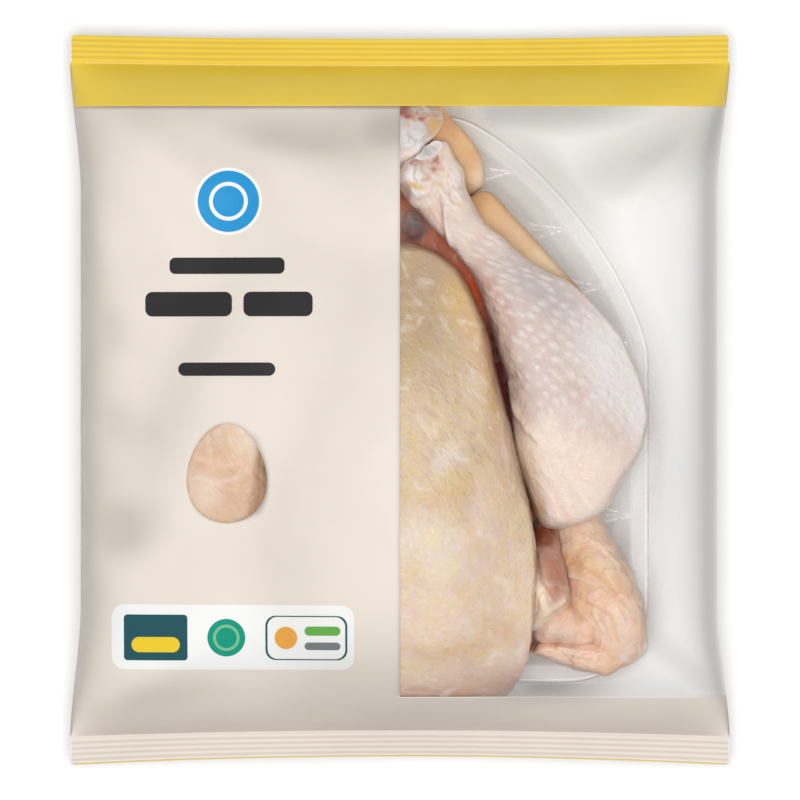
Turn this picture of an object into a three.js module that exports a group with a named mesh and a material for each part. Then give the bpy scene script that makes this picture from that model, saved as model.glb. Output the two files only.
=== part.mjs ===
// Sealed film bag holding a whole raw chicken in its tray, lying on its back with the window side up.
// Millimetres, +Z up. The origin is on the floor under the middle of the bag, +Y points to the
// top seal and +X to the side with the clear window.
// The bag is one closed solid: an upper skin drawn over the breast, legs, wings and tray rim,
// a lower skin that is flat under the tray, and a crimped flat seal at each end.
import * as THREE from "three";

// Bag outline
const sealHalfWidth = 130;
const waistIn = { left: 4.4, right: 5.2 };
const waistFrom = 0.56;
const waistTo = 0.95;
const halfLength = 144;
const endPull = { top: 1.6, bottom: 3.5, power: 4 };

// Crimped seals
const sealDepth = 11;
const crimpPitch = 2.2;
const crimpHeight = 0.45;
const sealHalfThickness = 0.7;
const sealHeight = 15;
const sealWave = { high: 1.6, waves: 1.1, shift: 0.4, from: 0.75 };

// Body of the bag
const sideHeight = 22;
const sideHalfThickness = 0.5;
const sideDropFrom = 0.45;
const sealThicknessPower = 16;
const trayFilmHeight = 60;
const trayEdgePower = { across: 8.5, along: 6.5 };
const baseFlatness = 1.22;
const basePower = { across: 5, along: 6 };

// What the upper skin lies on: centre, half sizes, height above the floor and turn in degrees
const contents = {
  breast: { x: 0, y: -34, across: 66, along: 104, height: 93, turn: 0 },
  legRight: { x: 62, y: 0, across: 34, along: 74, height: 76, turn: 24 },
  legLeft: { x: -62, y: 0, across: 34, along: 74, height: 76, turn: -24 },
  shanks: { x: 3, y: 84, across: 40, along: 34, height: 68, turn: 0 },
  wingRight: { x: 72, y: -78, across: 28, along: 38, height: 58, turn: 12 },
  wingLeft: { x: -72, y: -78, across: 28, along: 38, height: 58, turn: -12 },
};
const moundEdge = { power: 2.6, drop: 0.42 };
const skinBlend = 36;

// Soft folds in the upper skin: from, to, half width and height, which is below zero for a valley
const folds = [
  { from: [131, 118], to: [78, 64], wide: 8, high: 3.6 },
  { from: [131, 118], to: [60, 86], wide: 10, high: -5 },
  { from: [-131, 126], to: [-66, 74], wide: 9, high: 3 },
  { from: [-128, 96], to: [-90, 36], wide: 11, high: -3 },
  { from: [131, -130], to: [86, -90], wide: 8, high: 3 },
  { from: [-131, -130], to: [-72, -94], wide: 9, high: 3 },
  { from: [-131, -58], to: [-86, -44], wide: 10, high: -5 },
  { from: [-131, 30], to: [-92, 22], wide: 8, high: -3 },
  { from: [-131, -10], to: [-90, -12], wide: 8, high: -3 },
  { from: [-82, 114], to: [6, 98], wide: 10, high: -5 },
  { from: [-128, -124], to: [-50, -112], wide: 8, high: -3.4 },
  { from: [46, 134], to: [20, 96], wide: 8, high: -1.6 },
  { from: [-38, -134], to: [-14, -100], wide: 10, high: -1.6 },
  { from: [40, -136], to: [66, -100], wide: 9, high: -1.6 },
];

// Mesh density
const topCells = 42;
const baseCells = 12;
const bodyRows = 54;
const evenShare = { along: 0.55, across: 0.5 };

const smoothStep = (from, to, value) => {
  const t = Math.min(1, Math.max(0, (value - from) / (to - from)));
  return t * t * (3 - 2 * t);
};

// The larger of two heights, rounded where they are within `blend` of each other.
const smoothMax = (a, b, blend) => {
  const h = Math.max(blend - Math.abs(a - b), 0) / blend;
  return Math.max(a, b) + (h * h * h * blend) / 6;
};

// Half width of the bag at y: full width at the seals, drawn in at the waist.
function halfWidth(y, side) {
  const ease = 1 - smoothStep(waistFrom, waistTo, Math.abs(y) / halfLength);
  return sealHalfWidth - waistIn[side] * ease;
}

// Where a point at u, v of the flat bag lies in plan: the ends are drawn in at their middle.
function planPoint(u, v) {
  const pull = v > 0 ? -endPull.top : endPull.bottom;
  const y = v * halfLength + pull * (1 - u * u) * Math.abs(v) ** endPull.power;
  return [u * halfWidth(y, u < 0 ? "left" : "right"), y];
}

const bodyShare = 1 - sealDepth / halfLength;

// Height of the line along which the upper and lower skins meet: each seal waves a little.
function seamHeight(u, v) {
  const ease = 1 - smoothStep(sideDropFrom, 1, Math.abs(v));
  const phase = 2 * Math.PI * (sealWave.waves * u + sealWave.shift * Math.sign(v));
  const wave = sealWave.high * Math.sin(phase) * smoothStep(sealWave.from, 1, Math.abs(v));
  return sealHeight + (sideHeight - sealHeight) * ease + wave;
}

// One rounded mound of the contents: its height over the floor at x, y.
function mound({ x: cx, y: cy, across: a, along: b, height, turn }, x, y) {
  const c = Math.cos((turn * Math.PI) / 180);
  const s = Math.sin((turn * Math.PI) / 180);
  const p = ((x - cx) * c + (y - cy) * s) / a;
  const q = ((y - cy) * c - (x - cx) * s) / b;
  return height * Math.exp(-moundEdge.drop * Math.hypot(p, q) ** moundEdge.power);
}

// Height that one fold adds at x, y: a bell across its line, fading out at both ends.
function foldLift({ from, to, wide, high }, x, y) {
  const dx = to[0] - from[0];
  const dy = to[1] - from[1];
  const length = Math.hypot(dx, dy);
  const s = ((x - from[0]) * dx + (y - from[1]) * dy) / (length * length);
  if (s <= 0 || s >= 1) return 0;
  const d = ((x - from[0]) * dy - (y - from[1]) * dx) / length;
  return high * Math.exp(-((d / wide) ** 2)) * Math.sin(Math.PI * s) ** 2;
}

// Upper skin over the body, at plan point x, y with flat bag shares u and v.
function upperHeight(x, y, u, v) {
  const seam = seamHeight(u, v);
  const w = Math.min(1, Math.abs(v) / bodyShare);
  const round =
    Math.sqrt(Math.max(0, 1 - Math.abs(u) ** trayEdgePower.across)) *
    Math.max(0, 1 - w ** trayEdgePower.along);
  const overTray = seam + (trayFilmHeight - seam) * round;
  const heap = Object.values(contents).reduce(
    (height, item) => smoothMax(height, mound(item, x, y), skinBlend),
    0,
  );
  const blend = skinBlend * Math.max(round, 0.001);
  const over = smoothMax(overTray, seam + (heap - seam) * round, blend);
  const lift = folds.reduce((sum, fold) => sum + foldLift(fold, x, y), 0);
  return over + lift * round;
}

// Lower skin over the body: flat on the floor under the tray, rising to the seam all round.
function lowerHeight(u, v) {
  const w = Math.min(1, Math.abs(v) / bodyShare);
  const round = Math.sqrt(
    Math.max(0, 1 - Math.abs(u) ** basePower.across) * Math.max(0, 1 - w ** basePower.along),
  );
  return seamHeight(u, v) * Math.max(0, 1 - baseFlatness * round);
}

// Crimp ridges across a seal, at v beyond the body.
function crimp(v) {
  const into = (Math.abs(v) - bodyShare) * halfLength;
  return crimpHeight * Math.sin((Math.PI * into) / crimpPitch) ** 2;
}

// The upper and lower heights at u, v.
function skins(u, v) {
  const [x, y] = planPoint(u, v);
  const seam = seamHeight(u, v);
  if (Math.abs(v) >= bodyShare) {
    const ridge = crimp(v);
    return {
      x,
      y,
      top: seam + sealHalfThickness + ridge,
      low: seam - sealHalfThickness + ridge,
    };
  }
  const rim = 1 - (Math.abs(v) / bodyShare) ** sealThicknessPower;
  const edge = sealHalfThickness + (sideHalfThickness - sealHalfThickness) * rim;
  return {
    x,
    y,
    top: Math.max(seam + edge, upperHeight(x, y, u, v)),
    low: Math.min(seam - edge, lowerHeight(u, v)),
  };
}

// From -1 to 1 as t is, but closer together towards both ends the smaller the even share.
const eased = (t, even) => even * t + (1 - even) * Math.sin((t * Math.PI) / 2);

// The v of every cross section: close rows on the crimps, and body rows closer towards the seals.
function rowShares() {
  const crimpStep = crimpPitch / 2 / halfLength;
  const crimpRows = Math.round(sealDepth / (crimpPitch / 2));
  const lower = Array.from({ length: crimpRows }, (_, i) => -1 + i * crimpStep);
  const body = Array.from({ length: bodyRows + 1 }, (_, i) => {
    const t = -1 + (2 * i) / bodyRows;
    return bodyShare * eased(t, evenShare.along);
  });
  return [...lower, ...body, ...lower.map((v) => -v).reverse()];
}

// Shares across the bag, closer together towards the side folds.
const crossShares = (cells) =>
  Array.from({ length: cells + 1 }, (_, i) => {
    const t = -1 + (2 * i) / cells;
    return eased(t, evenShare.across);
  });

// Triangles between two rows of points that start and end side by side, given each row's shares.
function zip(first, second, firstShares, secondShares, add) {
  let i = 0;
  let j = 0;
  while (i < first.length - 1 || j < second.length - 1) {
    const stepFirst =
      j === second.length - 1 ||
      (i < first.length - 1 && firstShares[i + 1] <= secondShares[j + 1]);
    if (stepFirst) {
      add(first[i], first[i + 1], second[j]);
      i += 1;
    } else {
      add(first[i], second[j + 1], second[j]);
      j += 1;
    }
  }
}

// The bag as one closed mesh: each cross section is a ring of upper points, then lower points.
function bagGeometry() {
  const rows = rowShares();
  const topShares = crossShares(topCells);
  const baseShares = crossShares(baseCells);
  const positions = [];
  const triangles = [];
  const place = (x, y, z) => positions.push(x, y, z) / 3 - 1;
  const rings = rows.map((v) => ({
    top: topShares.map((u) => {
      const p = skins(u, v);
      return place(p.x, p.y, p.top);
    }),
    low: baseShares.map((u) => {
      const p = skins(u, v);
      return place(p.x, p.y, p.low);
    }),
  }));
  for (let r = 0; r < rings.length - 1; r += 1) {
    const near = [...rings[r].top, ...[...rings[r].low].reverse()];
    const far = [...rings[r + 1].top, ...[...rings[r + 1].low].reverse()];
    near.forEach((a, i) => {
      const next = (i + 1) % near.length;
      triangles.push(a, near[next], far[next], a, far[next], far[i]);
    });
  }
  const bottom = rings[0];
  zip(bottom.low, bottom.top, baseShares, topShares, (a, b, c) => triangles.push(a, b, c));
  const top = rings[rings.length - 1];
  zip(top.low, top.top, baseShares, topShares, (a, b, c) => triangles.push(a, c, b));
  return new THREE.BufferGeometry()
    .setAttribute("position", new THREE.Float32BufferAttribute(positions, 3))
    .setIndex(triangles);
}

const printedFilm = new THREE.MeshStandardMaterial({
  color: 0xebe1d6,
  roughness: 0.45,
  metalness: 0,
});

const pack = new THREE.Group();
const bag = new THREE.Mesh(bagGeometry(), printedFilm);
bag.name = "bag";
pack.add(bag);

export default pack;
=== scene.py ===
# Whole raw chicken, breast up in a clear tray, sealed in a printed film bag with a clear window.
# +Y runs to the end with the wide yellow band, +X to the window side, +Z up.
# Numbers in the dictionaries are millimetres unless a note says otherwise; the meshes are in metres.
import itertools
import math

import bpy
import numpy as np
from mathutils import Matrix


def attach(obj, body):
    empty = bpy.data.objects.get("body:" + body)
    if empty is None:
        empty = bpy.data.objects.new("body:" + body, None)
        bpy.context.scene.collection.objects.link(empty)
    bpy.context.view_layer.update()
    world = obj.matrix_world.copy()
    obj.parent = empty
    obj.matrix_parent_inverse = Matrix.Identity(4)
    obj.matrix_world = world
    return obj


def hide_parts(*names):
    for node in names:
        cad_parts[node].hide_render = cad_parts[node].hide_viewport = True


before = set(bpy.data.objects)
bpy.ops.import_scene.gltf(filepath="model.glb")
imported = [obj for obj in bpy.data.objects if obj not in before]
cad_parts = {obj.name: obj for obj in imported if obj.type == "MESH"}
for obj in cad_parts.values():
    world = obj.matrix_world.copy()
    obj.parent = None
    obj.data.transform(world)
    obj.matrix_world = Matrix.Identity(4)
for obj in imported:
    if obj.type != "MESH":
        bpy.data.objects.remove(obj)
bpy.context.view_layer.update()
mm = 0.001
print("frame loaded")


# Blends, curves and noise

def smoothStep(low, high, value):
    # 0 below low, 1 above high, 3t2 - 2t3 between
    t = np.clip((value - low) / (high - low), 0, 1)
    return t * t * (3 - 2 * t)


def smoothMax(a, b, blend):
    # larger of two heights, rounded where they are within blend of each other
    h = np.maximum(blend - np.abs(a - b), 0) / blend
    return np.maximum(a, b) + h ** 3 * blend / 6


def smoothMin(a, b, blend):
    # smaller of two heights, rounded in the same way
    return -smoothMax(-a, -b, blend)


def turnedInto(x, y, turn):
    # a distance in plan as seen by something that is turned by so many degrees
    c, s = math.cos(math.radians(turn)), math.sin(math.radians(turn))
    return x * c + y * s, y * c - x * s


def bell(x, y, item):
    # soft patch: e to the minus r to the power 2.8, r the turned distance in half sizes
    cx, cy, across, along, turn = item
    p, q = turnedInto(x - cx, y - cy, turn)
    return np.exp(-((p / across) ** 2 + (q / along) ** 2) ** 1.4)


def markOf(points, items):
    # strength 0-1 of a surface detail, largest of its soft patches
    total = np.zeros(len(points))
    for *patch, strength in items:
        total = np.maximum(total, bell(points[:, 0], points[:, 1], patch) * strength)
    return total


def splineThrough(knots, t):
    # Catmull-Rom curve through the rows of knots, read at the row positions t
    i = np.clip(np.floor(t).astype(int), 0, len(knots) - 2)
    f = (t - i)[:, None]
    a, b, c, d = (knots[np.clip(i + k, 0, len(knots) - 1)] for k in (-1, 0, 1, 2))
    return b + 0.5 * f * (c - a + f * (2 * a - 5 * b + 4 * c - d + f * (3 * (b - c) + d - a)))


def softNoise(x, y, z, size, seed):
    # random values on a cubic lattice of the given size, blended smoothly between the corners
    table = np.random.RandomState(seed).uniform(-1, 1, (24, 24, 24))
    place = np.stack(np.broadcast_arrays(x, y, z), -1) / size
    base = np.floor(place).astype(int)
    f = place - base
    f = f * f * (3 - 2 * f)
    total = np.zeros(place.shape[:-1])
    for corner in itertools.product((0, 1), repeat=3):
        weight = np.prod(np.where(corner, f, 1 - f), axis=-1)
        i = (base + corner) % 24
        total += weight * table[i[..., 0], i[..., 1], i[..., 2]]
    return total


studio = {"gain": 1.12}  # what the lights make of a flat pale surface


def tone(r, g, b):
    # screen colour 0-255 to linear light, less the gain of the lights on a flat surface
    c = np.array([r, g, b]) / 255
    linear = np.where(c <= 0.04045, c / 12.92, ((c + 0.055) / 1.055) ** 2.4)
    return linear / studio["gain"]


# Mesh making

def gridFaces(rows, columns, wrap=False):
    # quads between neighbouring rows and columns of a grid of point numbers
    number = np.arange(rows * columns).reshape(rows, columns)
    if wrap:
        number = np.concatenate([number, number[:, :1]], axis=1)
    corners = [number[:-1, :-1], number[:-1, 1:], number[1:, 1:], number[1:, :-1]]
    return np.stack(corners, -1).reshape(-1, 4)


def alongEvenly(outline, count):
    # the same closed outline with its points at even distances
    closed = np.concatenate([outline, outline[:1]])
    length = np.concatenate([[0], np.cumsum(np.hypot(*np.diff(closed, axis=0).T))])
    at = np.linspace(0, length[-1], count, endpoint=False)
    return np.stack([np.interp(at, length, closed[:, 0]), np.interp(at, length, closed[:, 1])], -1)


def outward(points, quads, fans):
    # the same faces, turned round if the closed shape they bound has a negative volume
    triangles = np.concatenate([quads[:, [0, 1, 2]], quads[:, [0, 2, 3]], fans])
    a, b, c = (points[triangles[:, k]] for k in range(3))
    if np.einsum("ij,ij", a, np.cross(b, c)) < 0:
        return quads[:, ::-1], fans[:, ::-1]
    return quads, fans


def makePiece(name, points, quads, fans, material, marks=None, thickness=0, letsLightIn=False):
    # mesh of quads and fan triangles with its surface marks, on the root body
    mesh = bpy.data.meshes.new(name)
    corners = np.concatenate([quads.ravel(), fans.ravel()]).astype(np.int32)
    sizes = np.concatenate([np.full(len(quads), 4), np.full(len(fans), 3)]).astype(np.int32)
    starts = np.concatenate([[0], np.cumsum(sizes)[:-1]]).astype(np.int32)
    mesh.vertices.add(len(points))
    mesh.vertices.foreach_set("co", (points * mm).astype(np.float32).ravel())
    mesh.loops.add(len(corners))
    mesh.loops.foreach_set("vertex_index", corners)
    mesh.polygons.add(len(sizes))
    mesh.polygons.foreach_set("loop_start", starts)
    mesh.polygons.foreach_set("loop_total", sizes)
    mesh.update(calc_edges=True)
    for key, values in (marks or {}).items():
        kind, slot = ("FLOAT_VECTOR", "vector") if values.ndim == 2 else ("FLOAT", "value")
        mesh.attributes.new(key, kind, "POINT").data.foreach_set(slot, values.astype(np.float32).ravel())
    mesh.materials.append(material)
    mesh.shade_smooth()
    piece = bpy.data.objects.new(name, mesh)
    bpy.context.scene.collection.objects.link(piece)
    if thickness:
        wall = piece.modifiers.new("filmThickness", "SOLIDIFY")
        wall.thickness = thickness * mm
        wall.offset = -1
    piece.visible_shadow = not letsLightIn
    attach(piece, "root")
    return piece


noFans = np.zeros((0, 3), int)


# Material making: small helpers round the node tree

class Nodes:
    def __init__(self, name):
        self.material = bpy.data.materials.new(name)
        self.material.use_nodes = True
        self.tree = self.material.node_tree
        self.tree.nodes.clear()
        self.output = self.tree.nodes.new("ShaderNodeOutputMaterial")
        place = self.add("ShaderNodeTexCoord")
        self.metres = place.outputs["Object"]

    def add(self, kind, **settings):
        node = self.tree.nodes.new(kind)
        for key, value in settings.items():
            setattr(node, key, value)
        return node

    def join(self, source, target):
        self.tree.links.new(source, target)

    def fill(self, node, **values):
        # a plain number or colour goes on the socket, an output is linked to it
        for key, value in values.items():
            socket = node.inputs[int(key[1:])] if key[0] == "i" and key[1:].isdigit() else node.inputs[key]
            if isinstance(value, bpy.types.NodeSocket):
                self.join(value, socket)
            else:
                socket.default_value = value
        return node

    def sized(self, size, turn=0, stretch=1, source=None):
        # coordinates in units of size millimetres, turned in plan and drawn out along their y
        node = self.add("ShaderNodeMapping", vector_type="TEXTURE")
        node.inputs["Rotation"].default_value = (0, 0, math.radians(turn))
        node.inputs["Scale"].default_value = (size * mm, stretch * size * mm, size * mm)
        self.join(source or self.metres, node.inputs["Vector"])
        return node.outputs["Vector"]

    def level(self):
        # 1 where the surface lies level, 0 where it is upright
        place = self.add("ShaderNodeNewGeometry")
        split = self.add("ShaderNodeSeparateXYZ")
        self.join(place.outputs["Normal"], split.inputs[0])
        return self.maths("ABSOLUTE", split.outputs["Z"], 0.0)

    def noise(self, vector, detail=2, rough=0.5, warp=0):
        # soft noise, mostly between 0.3 and 0.7
        node = self.add("ShaderNodeTexNoise")
        self.fill(node, Vector=vector, Scale=1.0, Detail=detail, Roughness=rough, Distortion=warp)
        return node.outputs["Fac"]

    def cells(self, vector, feature="F1", random=1.0, flat=False):
        # distance to the nearest of the scattered points
        node = self.add("ShaderNodeTexVoronoi", feature=feature, voronoi_dimensions="2D" if flat else "3D")
        self.fill(node, Vector=vector, Scale=1.0, Randomness=random)
        return node.outputs["Distance"]

    def ramp(self, value, low, high, first=0.0, last=1.0):
        # from first at low to last at high, eased at both ends
        node = self.add("ShaderNodeMapRange", interpolation_type="SMOOTHSTEP")
        self.fill(node, i0=value, i1=low, i2=high, i3=first, i4=last)
        return node.outputs["Result"]

    def maths(self, operation, a, b):
        node = self.add("ShaderNodeMath", operation=operation)
        node.inputs[0].default_value = 0
        self.fill(node, i0=a, i1=b)
        return node.outputs[0]

    def blend(self, amount, a, b, mode="MIX"):
        node = self.add("ShaderNodeMix", data_type="RGBA", blend_type=mode)
        self.fill(node, i0=amount)
        for place, value in ((6, a), (7, b)):
            if isinstance(value, bpy.types.NodeSocket):
                self.join(value, node.inputs[place])
            else:
                node.inputs[place].default_value = (*value, 1)
        return node.outputs[2]

    def attribute(self, name, field="Fac"):
        node = self.add("ShaderNodeAttribute", attribute_name=name)
        return node.outputs[field]

    def bump(self, height, distance, strength=1.0, normal=None):
        node = self.add("ShaderNodeBump")
        self.fill(node, Height=height, Distance=distance * mm, Strength=strength)
        if normal:
            self.join(normal, node.inputs["Normal"])
        return node.outputs["Normal"]

    def finish(self, shader):
        self.join(shader, self.output.inputs["Surface"])
        return self.material


# Tray: clear formed plastic, straight at the foot and rounded to the head

tray = {
    "rimX": 97.7, "rimTop": 111.7, "rimLow": -111, "points": 640, "cornerPoints": 60, "smoothing": 12,
    "headCorner": (20.5, 17.7, 1.41),  # centre x, y and power of the two long corners
    "footRadius": 31.5, "baseMiddle": (0, -12.0),
    "profile": [  # distance in from the rim, height
        (0.5, 33.6), (0, 34.4), (0.15, 36.0), (0.9, 36.9), (2.0, 36.7), (5.4, 36.4), (6.9, 36.1),
        (7.9, 34.9), (8.6, 32.0), (10.6, 22.0), (12.6, 10.0), (14.0, 5.4), (16.4, 3.4), (20.0, 3.0),
    ],
    "profileRows": 110, "baseRings": 26, "wallFrom": (3, 9), "wallTo": (28, 34),  # heights
    # painted highlight lines along the rim
    "highlightLines": [(1.3, 0.65, 0.85), (6.6, 0.9, 0.3), (16.0, 1.2, 0.25)],  # way in, half width, whiteness
    "ribPitch": 22.5, "ribShift": 22.1, "ribHeight": 1.6, "ribDepth": 0.32, "ribHalf": 4.2,
    # painted glint lines beside every rib
    "ribLines": [  # off the rib, slope, half width, glint
        (0.5, 0.24, 1.1, 0.85), (0, 0, 0.8, 0.6), (-0.6, -0.26, 1.1, 0.8),
    ],
    "ribFade": (6.4, 8.5, 20.0, 10.0),  # way in where the lines start and end
}


def trayCorner(x, y, acrossTo, alongTo, power, start):
    # a quarter of a superellipse: cos and sin to the power 2 / power
    angle = np.radians(np.linspace(start, start + 90, tray["cornerPoints"]))
    c, s = np.cos(angle), np.sin(angle)
    c, s = np.sign(c) * np.abs(c) ** (2 / power), np.sign(s) * np.abs(s) ** (2 / power)
    return np.stack([x + c * acrossTo, y + s * alongTo], -1)


def trayOutline():
    # two long corners at the head and two round ones at the foot, evenly spaced and smoothed
    hx, hy, power = tray["headCorner"]
    fx, fy = tray["rimX"] - tray["footRadius"], tray["rimLow"] + tray["footRadius"]
    r = tray["footRadius"]
    parts = [
        trayCorner(hx, hy, tray["rimX"] - hx, tray["rimTop"] - hy, power, 0),
        trayCorner(-hx, hy, tray["rimX"] - hx, tray["rimTop"] - hy, power, 90),
        trayCorner(-fx, fy, r, r, 2, 180),
        trayCorner(fx, fy, r, r, 2, 270),
    ]
    outline = alongEvenly(np.concatenate(parts), tray["points"])
    for _ in range(tray["smoothing"]):
        outline = (np.roll(outline, 1, 0) + 2 * outline + np.roll(outline, -1, 0)) / 4
    return outline


trayRim = trayOutline()
trayProfile = np.array(tray["profile"], float)


def trayHalfWidth(y):
    # half width of the rim at y
    right = trayRim[trayRim[:, 0] > 0]
    order = np.argsort(right[:, 1])
    return np.interp(y, right[order, 1], right[order, 0])


def trayRib(y):
    # share of a rounded rib across the tray at y, one every pitch: a cosine bell
    off = (y - tray["ribShift"] + tray["ribPitch"] / 2) % tray["ribPitch"] - tray["ribPitch"] / 2
    return np.where(np.abs(off) < tray["ribHalf"], 0.5 + 0.5 * np.cos(math.pi * off / tray["ribHalf"]), 0)


# highlightLine is the opacity of the painted highlight and glint lines; highlightGlow and glint give them a
# painted glow
trayLook = {
    "body": 0.34, "highlightLine": 0.9, "highlightGlow": 0.12, "gloss": 0.35, "roughness": 0.25, "glossRoughness": 0.12,
    "grey": (0.76, 0.75, 0.74), "highlightWhite": (0.95, 0.95, 0.94),
    "glint": (1, 0.97, 0.94, 1), "ripple": (9, 10, 3),
}


def trayLines(n):
    # painted highlights: white lines at their distances in from the rim, and thin bright glint lines fanning
    # in along every rib
    inset = n.attribute("inset")
    highlightLine = 0.0
    for at, wide, highlightWhite in tray["highlightLines"]:
        off = n.maths("ABSOLUTE", n.maths("SUBTRACT", inset, at), 0.0)
        highlightLine = n.maths("MAXIMUM", n.ramp(off, wide, 0, 0, highlightWhite), highlightLine)
    split = n.add("ShaderNodeSeparateXYZ")
    n.join(n.metres, split.inputs[0])
    y = n.maths("DIVIDE", split.outputs["Y"], mm)
    start, full, end, fading = tray["ribFade"]
    into = n.maths("SUBTRACT", inset, full)
    glint = 0.0
    for off, slope, wide, highlightWhite in tray["ribLines"]:
        centre = n.maths("ADD", n.maths("MULTIPLY", into, slope), tray["ribShift"] + off)
        near = n.maths("PINGPONG", n.maths("SUBTRACT", y, centre), tray["ribPitch"] / 2)
        glint = n.maths("MAXIMUM", n.ramp(near, wide, 0, 0, highlightWhite), glint)
    fade = n.maths("MULTIPLY", n.ramp(inset, start, full), n.ramp(inset, end, fading))
    patchy = n.ramp(n.noise(n.sized(8), 2), 0.35, 0.6, 0.55, 1)
    return highlightLine, n.maths("MULTIPLY", n.maths("MULTIPLY", glint, fade), patchy)


def trayMaterial():
    # clear plastic: a faint pale body, with painted highlights: white lines along the rim that glow faintly,
    # and glowing glints beside its ribs
    n = Nodes("clearTrayPlastic")
    normal = n.bump(n.noise(n.sized(*trayLook["ripple"]), 2), 0.3, 0.12)
    highlightLine, glint = trayLines(n)
    clear = n.add("ShaderNodeBsdfTransparent")
    body = n.add("ShaderNodeBsdfPrincipled")
    colour = n.blend(highlightLine, trayLook["grey"], trayLook["highlightWhite"])
    n.fill(body, **{"Base Color": colour, "Roughness": trayLook["roughness"], "Normal": normal})
    # painted glow: the glints and highlight lines give out light
    glow = n.maths("ADD", glint, n.maths("MULTIPLY", highlightLine, trayLook["highlightGlow"]))
    n.fill(body, **{"Emission Color": trayLook["glint"], "Emission Strength": glow})
    mix = n.add("ShaderNodeMixShader")
    share = n.maths("MULTIPLY", n.level(), trayLook["body"])
    marks = n.maths("MULTIPLY", n.maths("ADD", highlightLine, glint), trayLook["highlightLine"])
    n.fill(mix, Fac=n.maths("MAXIMUM", share, marks))
    n.join(clear.outputs[0], mix.inputs[1])
    n.join(body.outputs[0], mix.inputs[2])
    gloss = n.add("ShaderNodeBsdfGlossy")
    n.fill(gloss, Color=(1, 1, 1, 1), Roughness=trayLook["glossRoughness"], Normal=normal)
    fresnel = n.add("ShaderNodeFresnel")
    n.fill(fresnel, IOR=1.45, Normal=normal)
    skin = n.add("ShaderNodeMixShader")
    n.fill(skin, Fac=n.maths("MULTIPLY", fresnel.outputs[0], trayLook["gloss"]))
    n.join(mix.outputs[0], skin.inputs[1])
    n.join(gloss.outputs[0], skin.inputs[2])
    return n.finish(skin.outputs[0])


def makeTray():
    # rim outline carried inwards along its normals down the profile, then shrunk to the centre for the base
    tangent = np.roll(trayRim, -1, 0) - np.roll(trayRim, 1, 0)
    inward = np.stack([-tangent[:, 1], tangent[:, 0]], -1) / np.hypot(*tangent.T)[:, None]
    profile = splineThrough(trayProfile, np.linspace(0, len(trayProfile) - 1, tray["profileRows"]))
    wall = trayRim[None] + inward[None] * profile[:, :1, None]
    height = np.repeat(profile[:, 1:], len(trayRim), 1)
    share = np.linspace(1, 0, tray["baseRings"] + 1)[1:-1, None, None]
    middle = np.array(tray["baseMiddle"])
    base = middle + (wall[-1] - middle) * share
    plan = np.concatenate([wall, base])
    height = np.concatenate([height, np.full(base.shape[:2], profile[-1, 1])])
    rib = trayRib(plan[..., 1])
    onBase = 1 - smoothStep(*tray["wallFrom"], height)
    onWall = (1 - smoothStep(*tray["wallTo"], height)) * (1 - onBase)
    plan[..., 0] -= np.sign(plan[..., 0]) * rib * onWall * tray["ribDepth"]
    height = height + rib * onBase * tray["ribHeight"]
    inset = np.concatenate([np.repeat(profile[:, :1], len(trayRim), 1),
                            profile[-1, 0] + np.linalg.norm(base - wall[-1], axis=-1)])
    points = np.concatenate([plan, height[..., None]], -1).reshape(-1, 3)
    quads = gridFaces(len(plan), len(trayRim), True)
    count = len(trayRim)
    around = np.arange(count) + (len(plan) - 1) * count
    fans = np.stack([around, np.roll(around, -1), np.full(count, len(points))], -1)
    points = np.concatenate([points, [[*middle, profile[-1, 1]]]])
    makePiece("tray", points, quads, fans, trayMaterial(),
              {"inset": np.append(inset, inset.max())}, letsLightIn=True)


makeTray()
print("tray made")


# Bag: the same outline and skins as the solid it replaces

bagShape = {
    "sealHalfWidth": 130, "waistIn": (4.4, 5.2), "waistFrom": 0.56, "waistTo": 0.95,
    "halfLength": 144, "endPull": (3.5, 1.6), "endPower": 4, "sealDepth": 11,
    "crimpPitch": 2.2, "crimpHeight": 0.45, "weldHalf": 0.25, "filmThickness": 0.1,
    "sealHeight": 15, "sealWave": (1.6, 1.1, 0.4), "waveFrom": 0.75, "sideHeight": 22, "sideDropFrom": 0.45,
    "trayFilmHeight": 60, "trayEdgePower": (8.5, 6.5),
    "baseFlatness": 1.22, "basePower": (5, 6), "baseBlend": 5,
    "moundPower": 2.6, "moundDrop": 0.42, "skinBlend": 36,
    "contents": [  # x, y, half size across and along, height, turn in degrees
        (0, -34, 66, 104, 93, 0), (62, 0, 34, 74, 76, 24), (-62, 0, 34, 74, 76, -24),
        (3, 84, 40, 34, 68, 0), (72, -78, 28, 38, 58, 12), (-72, -78, 28, 38, 58, -12),
    ],
    "folds": [  # from x, y, to x, y, half width, height
        (131, 118, 78, 64, 8, 3.6), (131, 118, 60, 86, 10, -5), (-131, 126, -66, 74, 9, 3),
        (-128, 96, -90, 36, 11, -3), (131, -130, 86, -90, 8, 3), (-131, -130, -72, -94, 9, 3),
        (-131, -58, -86, -44, 10, -5), (-131, 30, -92, 22, 8, -3), (-131, -10, -90, -12, 8, -3),
        (-82, 114, 6, 98, 10, -5), (-128, -124, -50, -112, 8, -3.4), (46, 134, 20, 96, 8, -1.6),
        (-38, -134, -14, -100, 10, -1.6), (40, -136, 66, -100, 9, -1.6),
    ],
    "bandLine": 115.2, "windowLow": -116.2,  # edges of the print, straight across the bag
}
bodyShare = 1 - bagShape["sealDepth"] / bagShape["halfLength"]


def bagHalfWidth(x, y):
    # full width at the seals, drawn in at the waist, a little more on the window side
    ease = 1 - smoothStep(bagShape["waistFrom"], bagShape["waistTo"], np.abs(y) / bagShape["halfLength"])
    return bagShape["sealHalfWidth"] - np.where(x < 0, *bagShape["waistIn"]) * ease


def endPullAt(y):
    # how far the middle of the near end is drawn in
    return np.where(y > 0, -bagShape["endPull"][1], bagShape["endPull"][0])


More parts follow.
